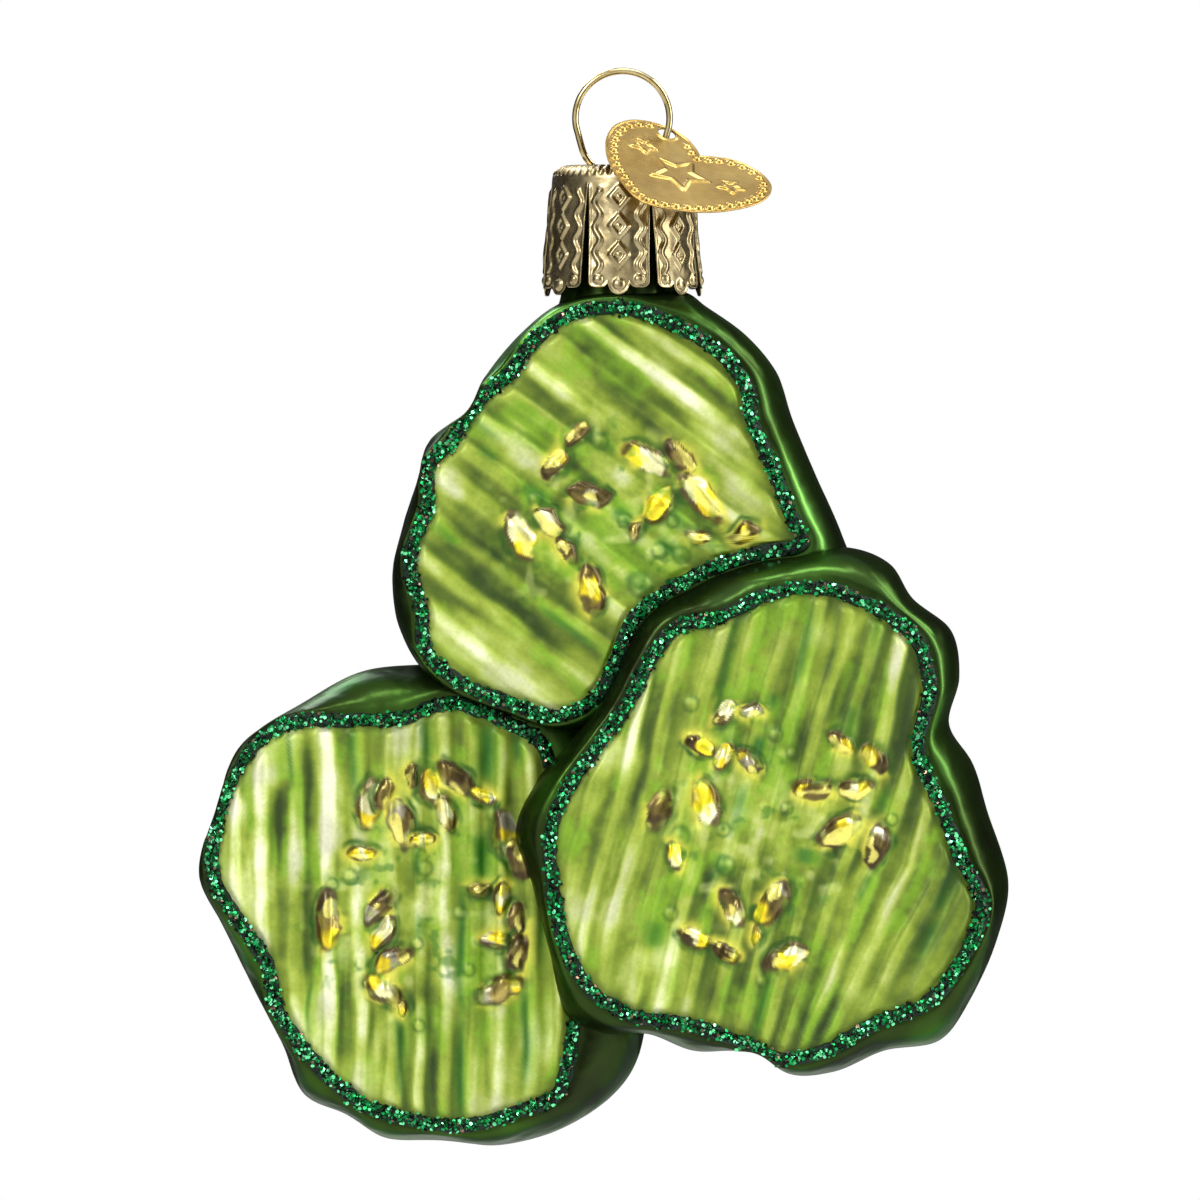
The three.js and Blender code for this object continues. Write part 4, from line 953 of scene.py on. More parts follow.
def slice_shell(s):
    """The rind, and the flat lands under faces and glitter. Its lacquer carries a painted highlight in
    places.
    """
    rings, bright = [], []
    number = sum(map(ord, s["name"]))
    # A painted highlight on the rind next to the glitter, in patches, strongest towards the upper right.
    patches = layered(2.2 * COSINES + 9, 2.2 * SINES + 9, number + 71)
    upper_right = COSINES * 0.7 + SINES * 0.72
    thin = s["thin"] * smooth_step(upper_right + 0.55 * patches, 0.4, 1.05)
    for side in ("front", "back"):
        place = s["sides"][side]
        land = place["outer"] + LAND_MARGIN
        rows = [(share * land, np.full(RAYS, place["y"])) for share in LAND_SHARES]
        shine = [0 * land] * len(LAND_SHARES)
        for turn in np.arange(RIND_ROWS + 1) / RIND_ROWS * math.pi / 2:
            depth = (place["y"] - s["middle"]) * math.cos(turn)
            swell = layered(4.5 * COSINES + turn, 4.5 * SINES + (side == "back") * 9, number)
            reach = land + (s["widest"] - land) * math.sin(turn) + RIND_SWELL * math.sin(2 * turn) * swell
            rows.append((reach, s["middle"] + depth + 0 * land))
            shine.append(thin * bell(math.sin(turn) - 0.24, 0.28))
        rings += rows if side == "front" else rows[-2::-1]
        bright += shine if side == "front" else shine[-2::-1]
    centre_x, centre_z = s["centre"]
    vertices = [np.column_stack([centre_x + r * COSINES, y, centre_z + r * SINES]) for r, y in rings]
    vertices += [[[centre_x, s["sides"][side]["y"], centre_z]] for side in ("front", "back")]
    vertices = np.vstack(vertices)
    faces = fan_faces(len(vertices) - 2, 0, RAYS)
    for ring in range(len(rings) - 1):
        faces += ring_faces(ring * RAYS, (ring + 1) * RAYS, RAYS)
    faces += fan_faces(len(vertices) - 1, (len(rings) - 1) * RAYS, RAYS)
    attributes = {"bright": np.concatenate(bright + [[0.0, 0.0]])}
    return make_object(f"{s['name']}_slice_rind", vertices, faces, [RIND, SILVER], attributes=attributes)


# Glitter bands

# Colours of the flakes, and how common each is. The pale mint flakes are painted glints and the near-black
# ones painted shade, standing for green flakes turned towards and away from the light.
FLAKE_COLOURS = [
    ((0.01, 0.39, 0.17), 0.26), ((0.03, 0.62, 0.31), 0.20), ((0.50, 1.0, 0.70), 0.14),
    ((0.01, 0.16, 0.06), 0.16), ((0.01, 0.03, 0.01), 0.21), ((0.50, 0.40, 0.32), 0.03),
]
FLAKES = 4000
FLAKE_RADIUS = (0.12, 0.2)
FLAKE_THICKNESS = 0.03
FLAKE_SPREAD = 0.48
FLAKE_TILT = 0.42
GLUE_HEIGHT = 0.8  # its share of the band's height
GLUE_ROOT = 0.15
GLUE_MARGIN = 0.1
GLUE_RAGGED = 0.15
GLUE_STEPS = 10


def runs(keep):
    """Runs of rays that are kept, as lists of ray numbers round the ring."""
    if keep.all():
        return [list(range(RAYS))]
    start = int(np.argmin(keep))
    found, run = [], []
    for k in range(1, RAYS + 1):
        ray = (start + k) % RAYS
        if keep[ray]:
            run.append(ray)
        elif run:
            found.append(run)
            run = []
    return found


def glue_bead(s, side, covers):
    """Points and faces of the raised glue under the flakes, cut back from the slices that cover it."""
    place = s["sides"][side]
    ragged = [GLUE_RAGGED * layered(ANGLES * 30, row, 61) for row in (0.0, 5.0)]
    inner = place["inner"] + GLUE_MARGIN - ragged[0]
    outer = place["outer"] - GLUE_MARGIN + ragged[1]
    middle = (inner + outer) / 2
    x, z = s["centre"][0] + middle * COSINES, s["centre"][1] + middle * SINES
    y = np.full(RAYS, place["y"])
    hidden = np.zeros(RAYS, bool)
    for cover in covers:
        hidden |= inside(cover, x, y, z, 0.1)
    arc = np.linspace(0, np.pi, GLUE_STEPS)
    shares = np.concatenate([0.5 - 0.5 * np.cos(arc), [1.0, 0.0]])
    heights = np.concatenate([BAND_HEIGHT * GLUE_HEIGHT * np.sin(arc) ** 0.7, [-GLUE_ROOT, -GLUE_ROOT]])
    vertices, faces = [], []
    section = len(shares)
    for run in runs(~hidden):
        base = sum(len(v) for v in vertices)
        for ray in run:
            r = inner[ray] + (outer[ray] - inner[ray]) * shares
            lump = heights * (1 + 0.25 * layered(ANGLES[ray] * 40 + 3 * shares, shares * 2, 67))
            x, z = s["centre"][0] + r * COSINES[ray], s["centre"][1] + r * SINES[ray]
            vertices.append(np.column_stack([x, place["y"] + place["outward"] * lump, z]))
        closed = len(run) == RAYS
        for k in range(len(run) - (0 if closed else 1)):
            a, b = base + k * section, base + (k + 1) % len(run) * section
            faces += [[a + i, a + (i + 1) % section, b + (i + 1) % section, b + i] for i in range(section)]
        if not closed:
            faces.append([base + i for i in range(section)])
            faces.append([base + (len(run) - 1) * section + i for i in range(section)])
    return np.vstack(vertices), faces


def flakes(s, side, covers, first, seed):
    """Points, faces and colours of the flakes: thin six-sided plates on the glue, at all tilts."""
    place = s["sides"][side]
    random = np.random.default_rng(seed)
    angle = random.uniform(0, 2 * np.pi, FLAKES)
    across = np.clip(random.normal(0, FLAKE_SPREAD, FLAKES), -0.98, 0.98)
    inner, outer = at_angle(place["inner"], angle), at_angle(place["outer"], angle)
    bite = 0.2 * layered(angle * 26, 3.0, seed) - 0.08
    middle, half = (inner + outer) / 2, (outer - inner) / 2 + bite
    far = middle + across * half
    dome = np.sqrt(np.clip(1 - (across / 1.15) ** 2, 0, 1))
    rise = BAND_HEIGHT * dome * random.uniform(0.65, 1.05, FLAKES) + FLAKE_THICKNESS
    x, z = s["centre"][0] + far * np.cos(angle), s["centre"][1] + far * np.sin(angle)
    y = place["y"] + place["outward"] * rise
    keep = np.ones(FLAKES, bool)
    for cover in covers:
        keep &= ~inside(cover, x, y, z, 0.12)
    x, y, z, angle, across = x[keep], y[keep], z[keep], angle[keep], across[keep]
    count = len(x)
    tilt = 0.7 * across
    outward = np.full(count, place["outward"] * 1.0)
    normal = np.column_stack([tilt * np.cos(angle), outward, tilt * np.sin(angle)])
    normal += random.normal(0, FLAKE_TILT, (count, 3))
    normal /= np.linalg.norm(normal, axis=1)[:, None]
    side_way = np.cross(normal, random.normal(0, 1, (count, 3)))
    side_way /= np.linalg.norm(side_way, axis=1)[:, None]
    other_way = np.cross(normal, side_way)
    size = random.uniform(*FLAKE_RADIUS, count)
    centres = np.column_stack([x, y, z])
    corners = []
    for level in (-0.5, 0.5):
        for k in range(6):
            c, d = math.cos(k * math.pi / 3), math.sin(k * math.pi / 3)
            step = size[:, None] * (c * side_way + d * other_way) + level * FLAKE_THICKNESS * normal
            corners.append(centres + step)
    vertices = np.stack(corners, 1).reshape(-1, 3)
    plate = [list(range(6)), list(range(6, 12))]
    plate += [[k, (k + 1) % 6, 6 + (k + 1) % 6, 6 + k] for k in range(6)]
    faces = [[first + 12 * n + corner for corner in face] for n in range(count) for face in plate]
    names = random.choice(len(FLAKE_COLOURS), count, p=[share for _, share in FLAKE_COLOURS])
    colours = np.array([linear(colour) for colour, _ in FLAKE_COLOURS])[names]
    colours = colours * random.uniform(0.75, 1.2, (count, 1))
    return vertices, faces, np.repeat(np.clip(colours, 0, 1), 12, 0)


def glitter_band(s, side, covers, seed):
    """The glue and its flakes as one piece."""
    glue_points, glue_faces = glue_bead(s, side, covers)
    points, faces, colours = flakes(s, side, covers, len(glue_points), seed)
    vertices = np.vstack([glue_points, points])
    indices = [0] * len(glue_faces) + [1] * len(faces)
    attributes = {"flake": np.vstack([np.tile(linear(GLUE_TINT), (len(glue_points), 1)), colours])}
    name = f"{s['name']}_{side}_glitter"
    made = make_object(name, vertices, glue_faces + faces, [GLUE, GLITTER], indices, attributes=attributes)
    made.data.polygons.foreach_set("use_smooth", [i == 0 for i in indices])
    return made


# Neck

NECK_FLARE = 0.9
NECK_FLARE_HEIGHT = 3.4


def neck():
    """The bare neck under the cap, with a round lip and a flared foot inside the top slice."""
    flare = [
        (NECK_RADIUS + NECK_FLARE * (1 - math.cos(t)), NECK_FOOT_Z + 1.2 - NECK_FLARE_HEIGHT * math.sin(t))
        for t in np.linspace(0, 1.2, 12)
    ]
    round_lip = (NECK_RADIUS - NECK_BORE) / 2
    lip = [
        (NECK_BORE + round_lip * (1 + math.cos(t)), MOUTH_Z - round_lip * (1 - math.sin(t)))
        for t in np.linspace(np.pi, 0, 12)
    ]
    profile = lip + [(NECK_RADIUS, z) for z in np.linspace(MOUTH_Z - 1, NECK_FOOT_Z + 1.4, 8)] + flare
    profile += [(NECK_BORE, flare[-1][1] - 0.5)]
    made = turned("neck", profile, 96, [RIND, SILVER], closed=True)
    for polygon in made.data.polygons:
        if math.hypot(polygon.center.x, polygon.center.y) < (NECK_BORE + 0.1) * MM:
            polygon.material_index = 1
    return made


# Cap

CAP_COLUMNS = 68
CAP_ROWS = 72
CROWN_ROUND = 1.5
CROWN_DROP = 1.25
CROWN_FLUTES = 49
EMBOSSING = 0.22
WAVE_LENGTH = 2.25
LOZENGE_DROPS = (2.9, 5.5, 8.1)
WIRE_HOLE_GAP = 0.2


def cap_radius(z):
    """The outer skin's radius below the shoulder."""
    drop = CAP_TOP_Z - CAP_SHOULDER_DROP - z
    return CAP_SHOULDER + CAP_FLARE * drop / (CAP_SKIRT - CAP_SHOULDER_DROP)


def petal_end(across, half):
    """How far below the straight edge a petal's scalloped end reaches."""
    lobe = LOBE_WIDTH / 2
    a = np.abs(across)
    middle = LOBE_DEPTH * np.sqrt(np.clip(1 - (a / lobe) ** 2, 0, 1))
    part = np.clip((a - lobe) / (half - lobe), 0, 1)
    side = SCALLOP_DEPTH * np.clip(1 - (2 * part - 1) ** 4, 0, 1)
    return np.where(a < lobe, middle, side)


def line_relief(distance, half_width):
    return np.clip(1 - (distance / half_width) ** 2, 0, 1) ** 0.8


def petal_relief(across, drop, half, end):
    """Raised wavy lines down the sides, lozenges down the middle and dots along the end."""
    height = np.zeros_like(across)
    for side in (-1, 1):
        wave = side * (0.72 * half - 0.26 * np.cos(2 * np.pi * drop / WAVE_LENGTH))
        fade = smooth_step(drop, 1.9, 2.4) * smooth_step(CAP_SKIRT - drop, 0.5, 1.1)
        height = np.maximum(height, EMBOSSING * fade * line_relief(across - wave, 0.3))
    for middle_drop in LOZENGE_DROPS:
        lozenge = np.abs(across) / 0.95 + np.abs(drop - middle_drop) / 1.15
        height = np.maximum(height, EMBOSSING * line_relief((lozenge - 0.8) * 0.65, 0.24))
        bud = np.hypot(across, drop - middle_drop) / 0.3
        height = np.maximum(height, 0.16 * np.clip(1 - bud**2, 0, 1))
    scallop = (half + LOBE_WIDTH / 2) / 2
    for place, below, size in ((0, 0.15, 0.55), (-scallop, -0.3, 0.45), (scallop, -0.3, 0.45)):
        dot = np.hypot(across - place, drop - CAP_SKIRT - below)
        height = np.maximum(height, 0.26 * np.sqrt(np.clip(1 - (dot / size) ** 2, 0, 1)))
    rim = np.minimum(half - np.abs(across), end - drop)
    return height + 0.08 * (1 - smooth_step(rim, 0.1, 0.32))


def cap():
    """Stamped cap: a ribbed crown and seven embossed petals, one thin closed skin."""
    pitch = 2 * math.pi / PETALS
    slot_z = CAP_TOP_Z - SLOT_START
    columns = np.linspace(-1, 1, CAP_COLUMNS + 1)
    rows = np.linspace(0, 1, CAP_ROWS + 1) ** 0.95
    edge_half = (CAP_SHOULDER + CAP_FLARE) * math.sin(pitch / 2) - SLOT_WIDTH / 2
    top_half = cap_radius(slot_z) * math.sin(pitch / 2)
    vertices, faces = [], []

    def add(points):
        vertices.append(points)
        return sum(len(v) for v in vertices) - len(points)

    wide = CAP_COLUMNS + 1
    grid = [r * wide + c for r in range(CAP_ROWS) for c in range(wide - 1)]
    for petal in range(PETALS):
        turn = petal * pitch + math.radians(PETAL_TURN)
        share, place = np.meshgrid(rows, columns, indexing="ij")
        reach = CAP_SKIRT + petal_end(place * edge_half, edge_half)
        drop = SLOT_START + share * (reach - SLOT_START)
        z = CAP_TOP_Z - drop
        radius = cap_radius(z)
        opened = np.clip((drop - SLOT_START) / (CAP_SKIRT - SLOT_START), 0, 1) ** 0.5
        half = top_half + (edge_half - top_half) * opened
        half = np.where(share == 0, top_half, half)
        alpha = np.where(share == 0, place * pitch / 2, place * np.arcsin(np.clip(half / radius, 0, 1)))
        across = radius * np.sin(alpha)
        relief = petal_relief(across, drop, half, reach)
        buckle = 0.10 * layered(across / 2.2 + 11 * petal, drop / 2.6, 71) + 0.10 * (place**2) * share
        settle = smooth_step(share, 0.0, 0.06)
        for inner in (False, True):
            r = radius + settle * (buckle + relief) - (CAP_WALL * THINNED if inner else 0)
            start = add(np.column_stack([
                (r * np.sin(turn + alpha)).ravel(), (-r * np.cos(turn + alpha)).ravel(), z.ravel(),
            ]))
            faces += [[start + g, start + g + 1, start + g + wide + 1, start + g + wide] for g in grid]
            if inner:
                outer_start, inner_start = start - wide * (CAP_ROWS + 1), start
        for r in range(CAP_ROWS):
            for c in (0, wide - 1):
                a, b = r * wide + c, (r + 1) * wide + c
                faces.append([outer_start + a, outer_start + b, inner_start + b, inner_start + a])
        for c in range(wide - 1):
            a, b = CAP_ROWS * wide + c, CAP_ROWS * wide + c + 1
            faces.append([outer_start + a, outer_start + b, inner_start + b, inner_start + a])

    around = PETALS * CAP_COLUMNS
    turns = np.arange(PETALS)[:, None] * pitch + math.radians(PETAL_TURN)
    angle = (turns + columns[:-1] * pitch / 2).ravel()

    def add_ring(radius, z):
        return add(np.column_stack([radius * np.sin(angle), -radius * np.cos(angle), z + 0 * angle]))

    for inner in (False, True):
        wall = CAP_WALL * THINNED if inner else 0.0
        crown = [(0.5 + 0.45 * k, 0.0) for k in range(6)]
        bend = [(math.sin(t), math.cos(t)) for t in np.linspace(0.0, math.pi / 2, 16)]
        inner_radius = CAP_SHOULDER - CROWN_ROUND
        crown += [(inner_radius + CROWN_ROUND * out, CROWN_DROP * up - CROWN_DROP) for out, up in bend]
        crown.append((CAP_SHOULDER + 0.01, -1.38))
        starts = []
        for k, (radius, rise) in enumerate(crown):
            fluted = 0.11 * smooth_step(radius, 3.9, 4.6) * smooth_step(rise, -1.0, -0.55)
            rib = 0.7 * fluted * np.cos(angle * CROWN_FLUTES) * (not inner)
            r = radius - wall * min(1.0, k / 8)
            z = CAP_TOP_Z + rise - wall * smooth_step(rise, -1.25, -0.2) + rib
            starts.append(add_ring(r + rib, z))
        starts.append(add_ring(cap_radius(slot_z) - wall, slot_z))
        for first, second in zip(starts, starts[1:]):
            faces += ring_faces(first, second, around)
        hub = add(np.array([[0, 0, CAP_TOP_Z - wall]]))
        faces += fan_faces(hub, starts[0], around)
    made = make_object("crimped_cap", np.vstack(vertices), faces, [PEWTER])
    turn_out(made.data, 2e-6)
    for side in (-1, 1):
        radius = WIRE_DIAMETER / 2 + WIRE_HOLE_GAP
        pin = turned("pin", [(0, 1), (radius, 1), (radius, -1), (0, -1)], 24, [PEWTER])
        pin.location = (side * LEG_SPACING / 2 * MM, 0, CAP_TOP_Z * MM)
        cut(made, pin)
    return made


# Wire hanger

LEG_BORE_GAP = 0.35


def sweep(name, path, radius, sides, materials):
    """A round wire along a path, with closed ends."""
    path = np.asarray(path, float)
    along = np.gradient(path, axis=0)
    along /= np.linalg.norm(along, axis=1)[:, None]
    side = np.cross(along, [0.0, 1.0, 0.0])
    side /= np.linalg.norm(side, axis=1)[:, None]
    other = np.cross(along, side)
    vertices, faces = [], []
    for point, a, b in zip(path, side, other):
        for k in range(sides):
            turn = 2 * math.pi * k / sides
            vertices.append(point + radius * (math.cos(turn) * a + math.sin(turn) * b))
    for k in range(len(path) - 1):
        faces += ring_faces(k * sides, (k + 1) * sides, sides)
    faces += [list(range(sides)), [(len(path) - 1) * sides + k for k in range(sides)]]
    return make_object(name, vertices, faces, materials)


def wire_hanger():
    """The loop with its drawn-in waist, and the two sprung legs that run down into the neck."""
    centre_z = WIRE_DIAMETER / 2 - LOOP_RADIUS
    steps = 9
    half = []
    for step in range(steps + 1):
        angle = math.radians(90 + LOOP_END_ANGLE) * step / steps
        half.append((LOOP_RADIUS * math.sin(angle), 0, centre_z + LOOP_RADIUS * math.cos(angle)))
    hole, spread = LEG_SPACING / 2, NECK_BORE - LEG_BORE_GAP - WIRE_DIAMETER / 2
    end_x, _, end_z = half[-1]
    above = CAP_TOP_Z + LEG_ABOVE_CAP
    for inward, down in LOOP_WAIST:
        half.append((end_x + inward * (hole - end_x), 0, end_z + down * (above - end_z)))
    half.append((hole, 0, above))
    legs = [(hole, -2.4), (hole + 0.7 * (spread - hole), -9.5), (spread, -16.8), (spread - 0.1, -21)]
    half += [(x, 0, CAP_TOP_Z + z) for x, z in legs]
    points = [(-x, y, z) for x, y, z in half[:0:-1]] + half
    return sweep("wire_loop", spline(points, False, 12), WIRE_DIAMETER / 2, 20, [WIRE])


# Heart tag

HEART_CENTRE = (0.0, -4.2)
HEART_RAYS = 600
BORDER_WIDTH = 1.6
BEAD_INSET = 0.78
BEAD_SPACING = 1.08
BEAD_RADIUS = 0.42
BEAD_HEIGHT = 0.24
STAR_HEIGHT = 0.17
STARS = ((0.0, -4.7, 2.7), (-4.5, -3.0, 1.2), (4.5, -3.0, 1.2))


def segment_distance(x, y, a, b):
    """Distances of points from the line between a and b."""
    ab = np.subtract(b, a)
    t = np.clip(((x - a[0]) * ab[0] + (y - a[1]) * ab[1]) / (ab @ ab), 0, 1)
    return np.hypot(x - a[0] - t * ab[0], y - a[1] - t * ab[1])


def star_relief(x, y):
    """The outlines of plain five-pointed stars: one large, and a small one on each side."""
    height = np.zeros_like(x)
    for cx, cy, size in STARS:
        turns = np.radians(90 + 36 * np.arange(11))
        reach = size * np.where(np.arange(11) % 2, 0.5, 1.0)
        corners = np.column_stack([cx + reach * np.cos(turns), cy + reach * np.sin(turns)])
        wide = 0.22 + 0.07 * size
        for a, b in zip(corners, corners[1:]):
            far = np.clip(segment_distance(x, y, a, b) / wide, 0, 1)
            height = np.maximum(height, STAR_HEIGHT * (0.5 + 0.5 * np.cos(np.pi * far)))
    return height


def heart_tag():
    """Stamped heart: a beaded border and stars in relief, dished a little, with an eyelet for the wire."""
    half = spline(HEART_HALF, False, 24)
    outline = np.vstack([half, (half * [-1, 1])[-2:0:-1]])
    centre = np.array(HEART_CENTRE)
    angles = np.arange(HEART_RAYS) / HEART_RAYS * 2 * np.pi
    reach = ray_lengths(outline, centre, angles)
    inner = np.linspace(0, 1, 34)[1:]
    outer = np.linspace(0, 1, 27)[1:]
    rings = [(reach - BORDER_WIDTH) * t for t in inner] + [reach - BORDER_WIDTH * (1 - t) for t in outer]
    radius = np.concatenate([[0.0], np.concatenate(rings)])
    theta = np.concatenate([[0.0], np.tile(angles, len(rings))])
    x, y = centre[0] + radius * np.cos(theta), centre[1] + radius * np.sin(theta)

    bead_line = offset_outline(outline, -BEAD_INSET)
    steps = np.linalg.norm(np.roll(bead_line, -1, 0) - bead_line, axis=1)
    length = np.concatenate([[0], np.cumsum(steps)])
    count = round(length[-1] / BEAD_SPACING)
    at = np.arange(count) / count * length[-1]
    closed = np.vstack([bead_line, bead_line[:1]])
    beads = np.column_stack([np.interp(at, length, closed[:, 0]), np.interp(at, length, closed[:, 1])])
    relief = star_relief(x, y)
    for bx, by in beads:
        if math.hypot(bx - TAG_HOLE[0], by - TAG_HOLE[1]) < 1.5:
            continue
        far = np.hypot(x - bx, y - by)
        relief = np.maximum(relief, BEAD_HEIGHT * np.clip(1 - (far / BEAD_RADIUS) ** 2, 0, 1) ** 0.7)
    eyelet = np.hypot(x - TAG_HOLE[0], y - TAG_HOLE[1]) - TAG_HOLE_DIAMETER / 2
    relief = relief + 0.12 * bell(eyelet, 0.25)
    edge_gap = np.concatenate([[5.0], np.concatenate([reach - r for r in rings])])
    relief = relief + 0.08 * bell(edge_gap, 0.22) - 0.05 * bell(edge_gap - 0.35, 0.2)
    dish = 0.10 * layered(x / 5, y / 5, 91) + 0.004 * (x**2)
    parts = []
    wall = TAG_THICKNESS * THINNED
    rounding = 0.1 * (1 - smooth_step(edge_gap, 0.0, 0.12))
    for sign in (1, -1):
        parts.append(np.column_stack([x, y, sign * (wall / 2 - rounding) + relief + dish - 0.15]))
    size = len(x)
    faces = []
    for base in (0, size):
        faces += fan_faces(base, base + 1, HEART_RAYS)
        for ring in range(len(rings) - 1):
            start = base + 1 + ring * HEART_RAYS
            faces += ring_faces(start, start + HEART_RAYS, HEART_RAYS)
    rim = 1 + (len(rings) - 1) * HEART_RAYS
    faces += ring_faces(rim, size + rim, HEART_RAYS)
    flat = np.vstack(parts)

    facing = np.array(TAG_FACING) / np.linalg.norm(TAG_FACING)
    up = np.array([TAG_UP[0], TAG_FACING[0] * TAG_UP[0] + TAG_FACING[2] * TAG_UP[1], TAG_UP[1]])
    up /= np.linalg.norm(up)
    axes = np.vstack([np.cross(up, facing), up, facing])
    along_loop = math.radians(TAG_LOOP_ANGLE)
    loop_z = WIRE_DIAMETER / 2 - LOOP_RADIUS
    place = np.array([
        LOOP_RADIUS * math.cos(along_loop), -TAG_FORWARD, loop_z + LOOP_RADIUS * math.sin(along_loop),
    ])
    flat = flat - np.array([TAG_HOLE[0], TAG_HOLE[1], 0])
    made = make_object("heart_tag_brass", place + flat @ axes, faces, [BRASS])
    turns = np.arange(32) / 32 * 2 * np.pi
    pin_ring = TAG_HOLE_DIAMETER / 2 * np.column_stack([np.cos(turns), np.sin(turns), np.zeros(32)])
    pin_flat = np.vstack([pin_ring + [0, 0, 1], pin_ring - [0, 0, 1], [[0, 0, 1], [0, 0, -1]]])
    pin_faces = ring_faces(0, 32, 32) + fan_faces(64, 0, 32) + fan_faces(65, 32, 32)
    cut(made, make_object("pin", place + pin_flat @ axes, pin_faces, [BRASS]))
    return made


# Assembly

def own(piece, body, slot, *nodes):
    """Gives a piece its body and hides the nodes that it stands for. Its slot is not used."""
    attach(piece, body)
    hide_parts(*nodes)


slices = {name: lay_out(name) for name in SLICES}
top, right, left = (slices[name] for name in ("top", "right", "left"))
for s in slices.values():
    shell = slice_shell(s)
    if s is top:
        profile = [(0, -5), (NECK_BORE, -5), (NECK_BORE, BORE_END_Z), (0, BORE_END_Z)]
        cut(shell, turned("bore", profile, 96, [SILVER]))
    own(shell, "glass", "silvered_glass", "glass_body")
    for side in ("front", "back"):
        own(face_panel(s, side), "glass", "silvered_glass", "glass_body")
own(neck(), "glass", "silvered_glass", "glass_body")

# The slices that lie over each glitter band. The order sets the seeds of the flakes.
COVERS = {
    ("top", "front"): [right], ("right", "front"): [], ("left", "front"): [top, right],
    ("top", "back"): [left], ("right", "back"): [top, left], ("left", "back"): [],
}
for number, ((name, side), covers) in enumerate(COVERS.items()):
    band = glitter_band(slices[name], side, covers, 100 + number)
    own(band, "glass", "glitter", f"glitter_bead_{name}_{side}")

own(cap(), "cap", "cap_metal", "cap")
own(wire_hanger(), "hanger", "wire_metal", "hanger_wire")
own(heart_tag(), "tag", "tag_brass", "heart_tag")


# Studio

# Each lamp: place and (width, height) in metres, and power
LAMPS = {
    "key": ((-0.45, -0.80, 0.45), (0.35, 0.35), 5.0),
    "side": ((0.72, -0.24, 0.26), (0.22, 0.95), 5.0),
    "top": ((0.05, -0.10, 0.60), (0.40, 0.20), 2.0),
    "rim": ((0.50, 0.18, 0.42), (0.25, 0.25), 1.6),
    "back": ((-0.3, 0.8, 0.45), (0.35, 0.35), 5.0),
}
LAMP_TARGET = (-0.002, 0.0, -0.05)

# Grey cards round the set that only gloss sees. They give glass and metal their dark edges, and between
# them the pale set shows. Each is (turn to the right from the front, height above level, half width, half
# height, shade), in degrees.
CARDS = {
    "card_behind": (180, -8, 82, 48, 0.08),
    "card_left": (-80, 0, 17, 50, 0.25),
    "card_right": (22, -8, 15, 44, 0.10),
    "card_below": (-26, -46, 38, 22, 0.12),
}
CARD_DISTANCE = 1.6
CARD_STEPS = 16
CARD_CENTRE = (0, 0, -0.05)
FLOOR_HALF = 0.7
FLOOR_Z = -0.22
LIGHT_ON_SURFACES = 0.55  # the set's light on surfaces, as a share of how bright it shows


def matt_material(name, shade, roughness):
    material, tree, shader = new_material(name)
    plug(tree, shader, {"Base Color": (shade, shade, shade, 1), "Roughness": roughness})
    return material


def area_lamp(name, place, size, power):
    data = bpy.data.lights.new(name, "AREA")
    data.shape = "RECTANGLE"
    data.size, data.size_y = size
    data.energy = power
    lamp = placed(name, data)
    lamp.location = place
    direction = np.subtract(LAMP_TARGET, place)
    lamp.rotation_euler = Vector(direction.tolist()).to_track_quat("-Z", "Y").to_euler()
    lamp.visible_camera = False


def card(name, turn, height, half_wide, half_tall, shade):
    """A piece of a ball round the set."""
    row = CARD_STEPS + 1
    across = np.radians(turn + np.linspace(-half_wide, half_wide, row))
    up = np.radians(height + np.linspace(-half_tall, half_tall, row))
    a, e = np.meshgrid(across, up)
    points = np.stack([np.sin(a) * np.cos(e), -np.cos(a) * np.cos(e), np.sin(e)], -1).reshape(-1, 3)
    corners = [row * j + i for j in range(CARD_STEPS) for i in range(CARD_STEPS)]
    faces = [[k, k + 1, k + row + 1, k + row] for k in corners]
    mesh = bpy.data.meshes.new(name)
    mesh.from_pydata((points * CARD_DISTANCE).tolist(), [], faces)
    mesh.materials.append(matt_material(name, shade, 1.0))
    made = placed(name, mesh)
    made.location = CARD_CENTRE
    made.visible_camera = False
    made.visible_diffuse = False
    made.visible_shadow = False
    made.visible_transmission = False


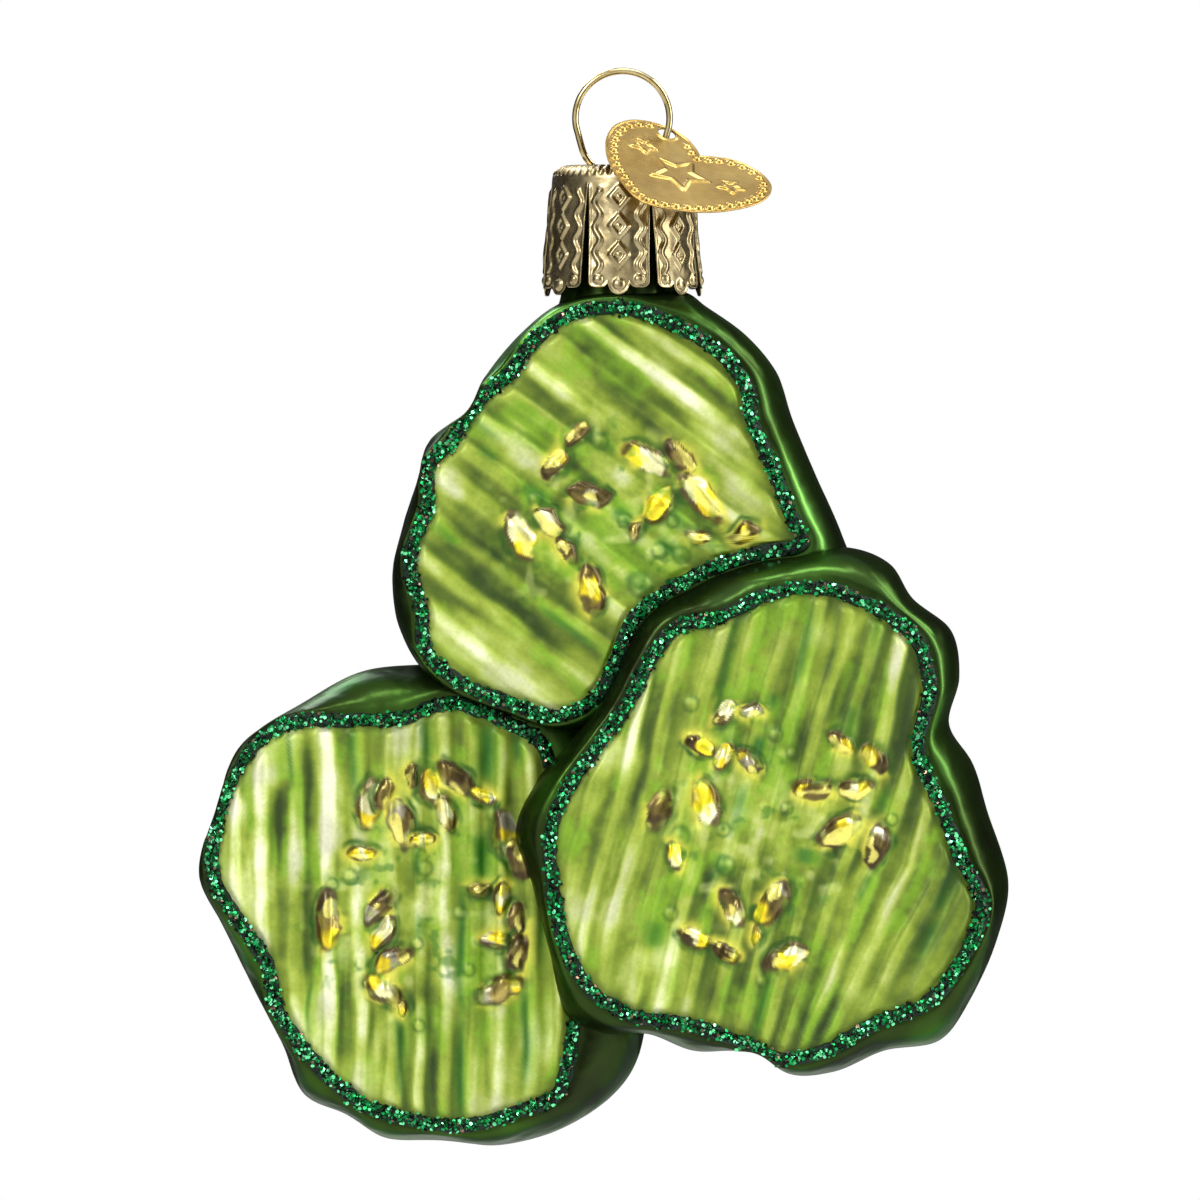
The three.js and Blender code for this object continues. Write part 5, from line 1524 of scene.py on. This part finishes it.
def studio():
    """A white set that lights surfaces less than it shows, with lamps, floor and cards."""
    scene = bpy.context.scene
    scene.view_settings.view_transform = "Standard"
    world = bpy.data.worlds.new("studio")
    scene.world = world
    world.use_nodes = True
    tree = world.node_tree
    background = tree.nodes["Background"]
    path = node(tree, "ShaderNodeLightPath")
    seen = path.outputs["Is Camera Ray"]
    for ray in ("Is Glossy Ray", "Is Transmission Ray"):
        seen = node(tree, "ShaderNodeMath", {0: seen, 1: path.outputs[ray]}, operation="MAXIMUM").outputs[0]
    strength = node(tree, "ShaderNodeMapRange", {"Value": seen, "To Min": LIGHT_ON_SURFACES})
    tree.links.new(strength.outputs["Result"], background.inputs["Strength"])
    background.inputs["Color"].default_value = (1, 1, 1, 1)

    for name, lamp in LAMPS.items():
        area_lamp(name, *lamp)

    floor_mesh = bpy.data.meshes.new("floor")
    corners = [(x * FLOOR_HALF, y * FLOOR_HALF, FLOOR_Z) for x, y in ((-1, -1), (1, -1), (1, 1), (-1, 1))]
    floor_mesh.from_pydata(corners, [], [(0, 1, 2, 3)])
    floor_mesh.materials.append(matt_material("pale_floor", 0.86, 0.7))
    placed("floor", floor_mesh)

    for name, place in CARDS.items():
        card(name, *place)


PHOTO_PIXEL = 0.09  # millimetres of the object in one pixel of the photograph
PHOTO_SIDE = 1200
ORIGIN_PIXEL = (622.5, 73.0)
CAMERA_DISTANCE = 1.5
OUTLINE_PLANE = -4.0 * MM


def camera():
    """Straight from the front, with the photograph's frame at the outline's plane."""
    data = bpy.data.cameras.new("camera")
    made = placed("camera", data)
    data.sensor_width = 36.0
    frame_width = PHOTO_SIDE * PHOTO_PIXEL * MM
    data.lens = data.sensor_width * CAMERA_DISTANCE / frame_width
    x = (PHOTO_SIDE / 2 - ORIGIN_PIXEL[0]) * PHOTO_PIXEL * MM
    z = (ORIGIN_PIXEL[1] - PHOTO_SIDE / 2) * PHOTO_PIXEL * MM
    made.location = (x, OUTLINE_PLANE - CAMERA_DISTANCE, z)
    made.rotation_euler = (math.pi / 2, 0, 0)
    data.clip_start, data.clip_end = 0.1, 10.0
    bpy.context.scene.camera = made


studio()
camera()
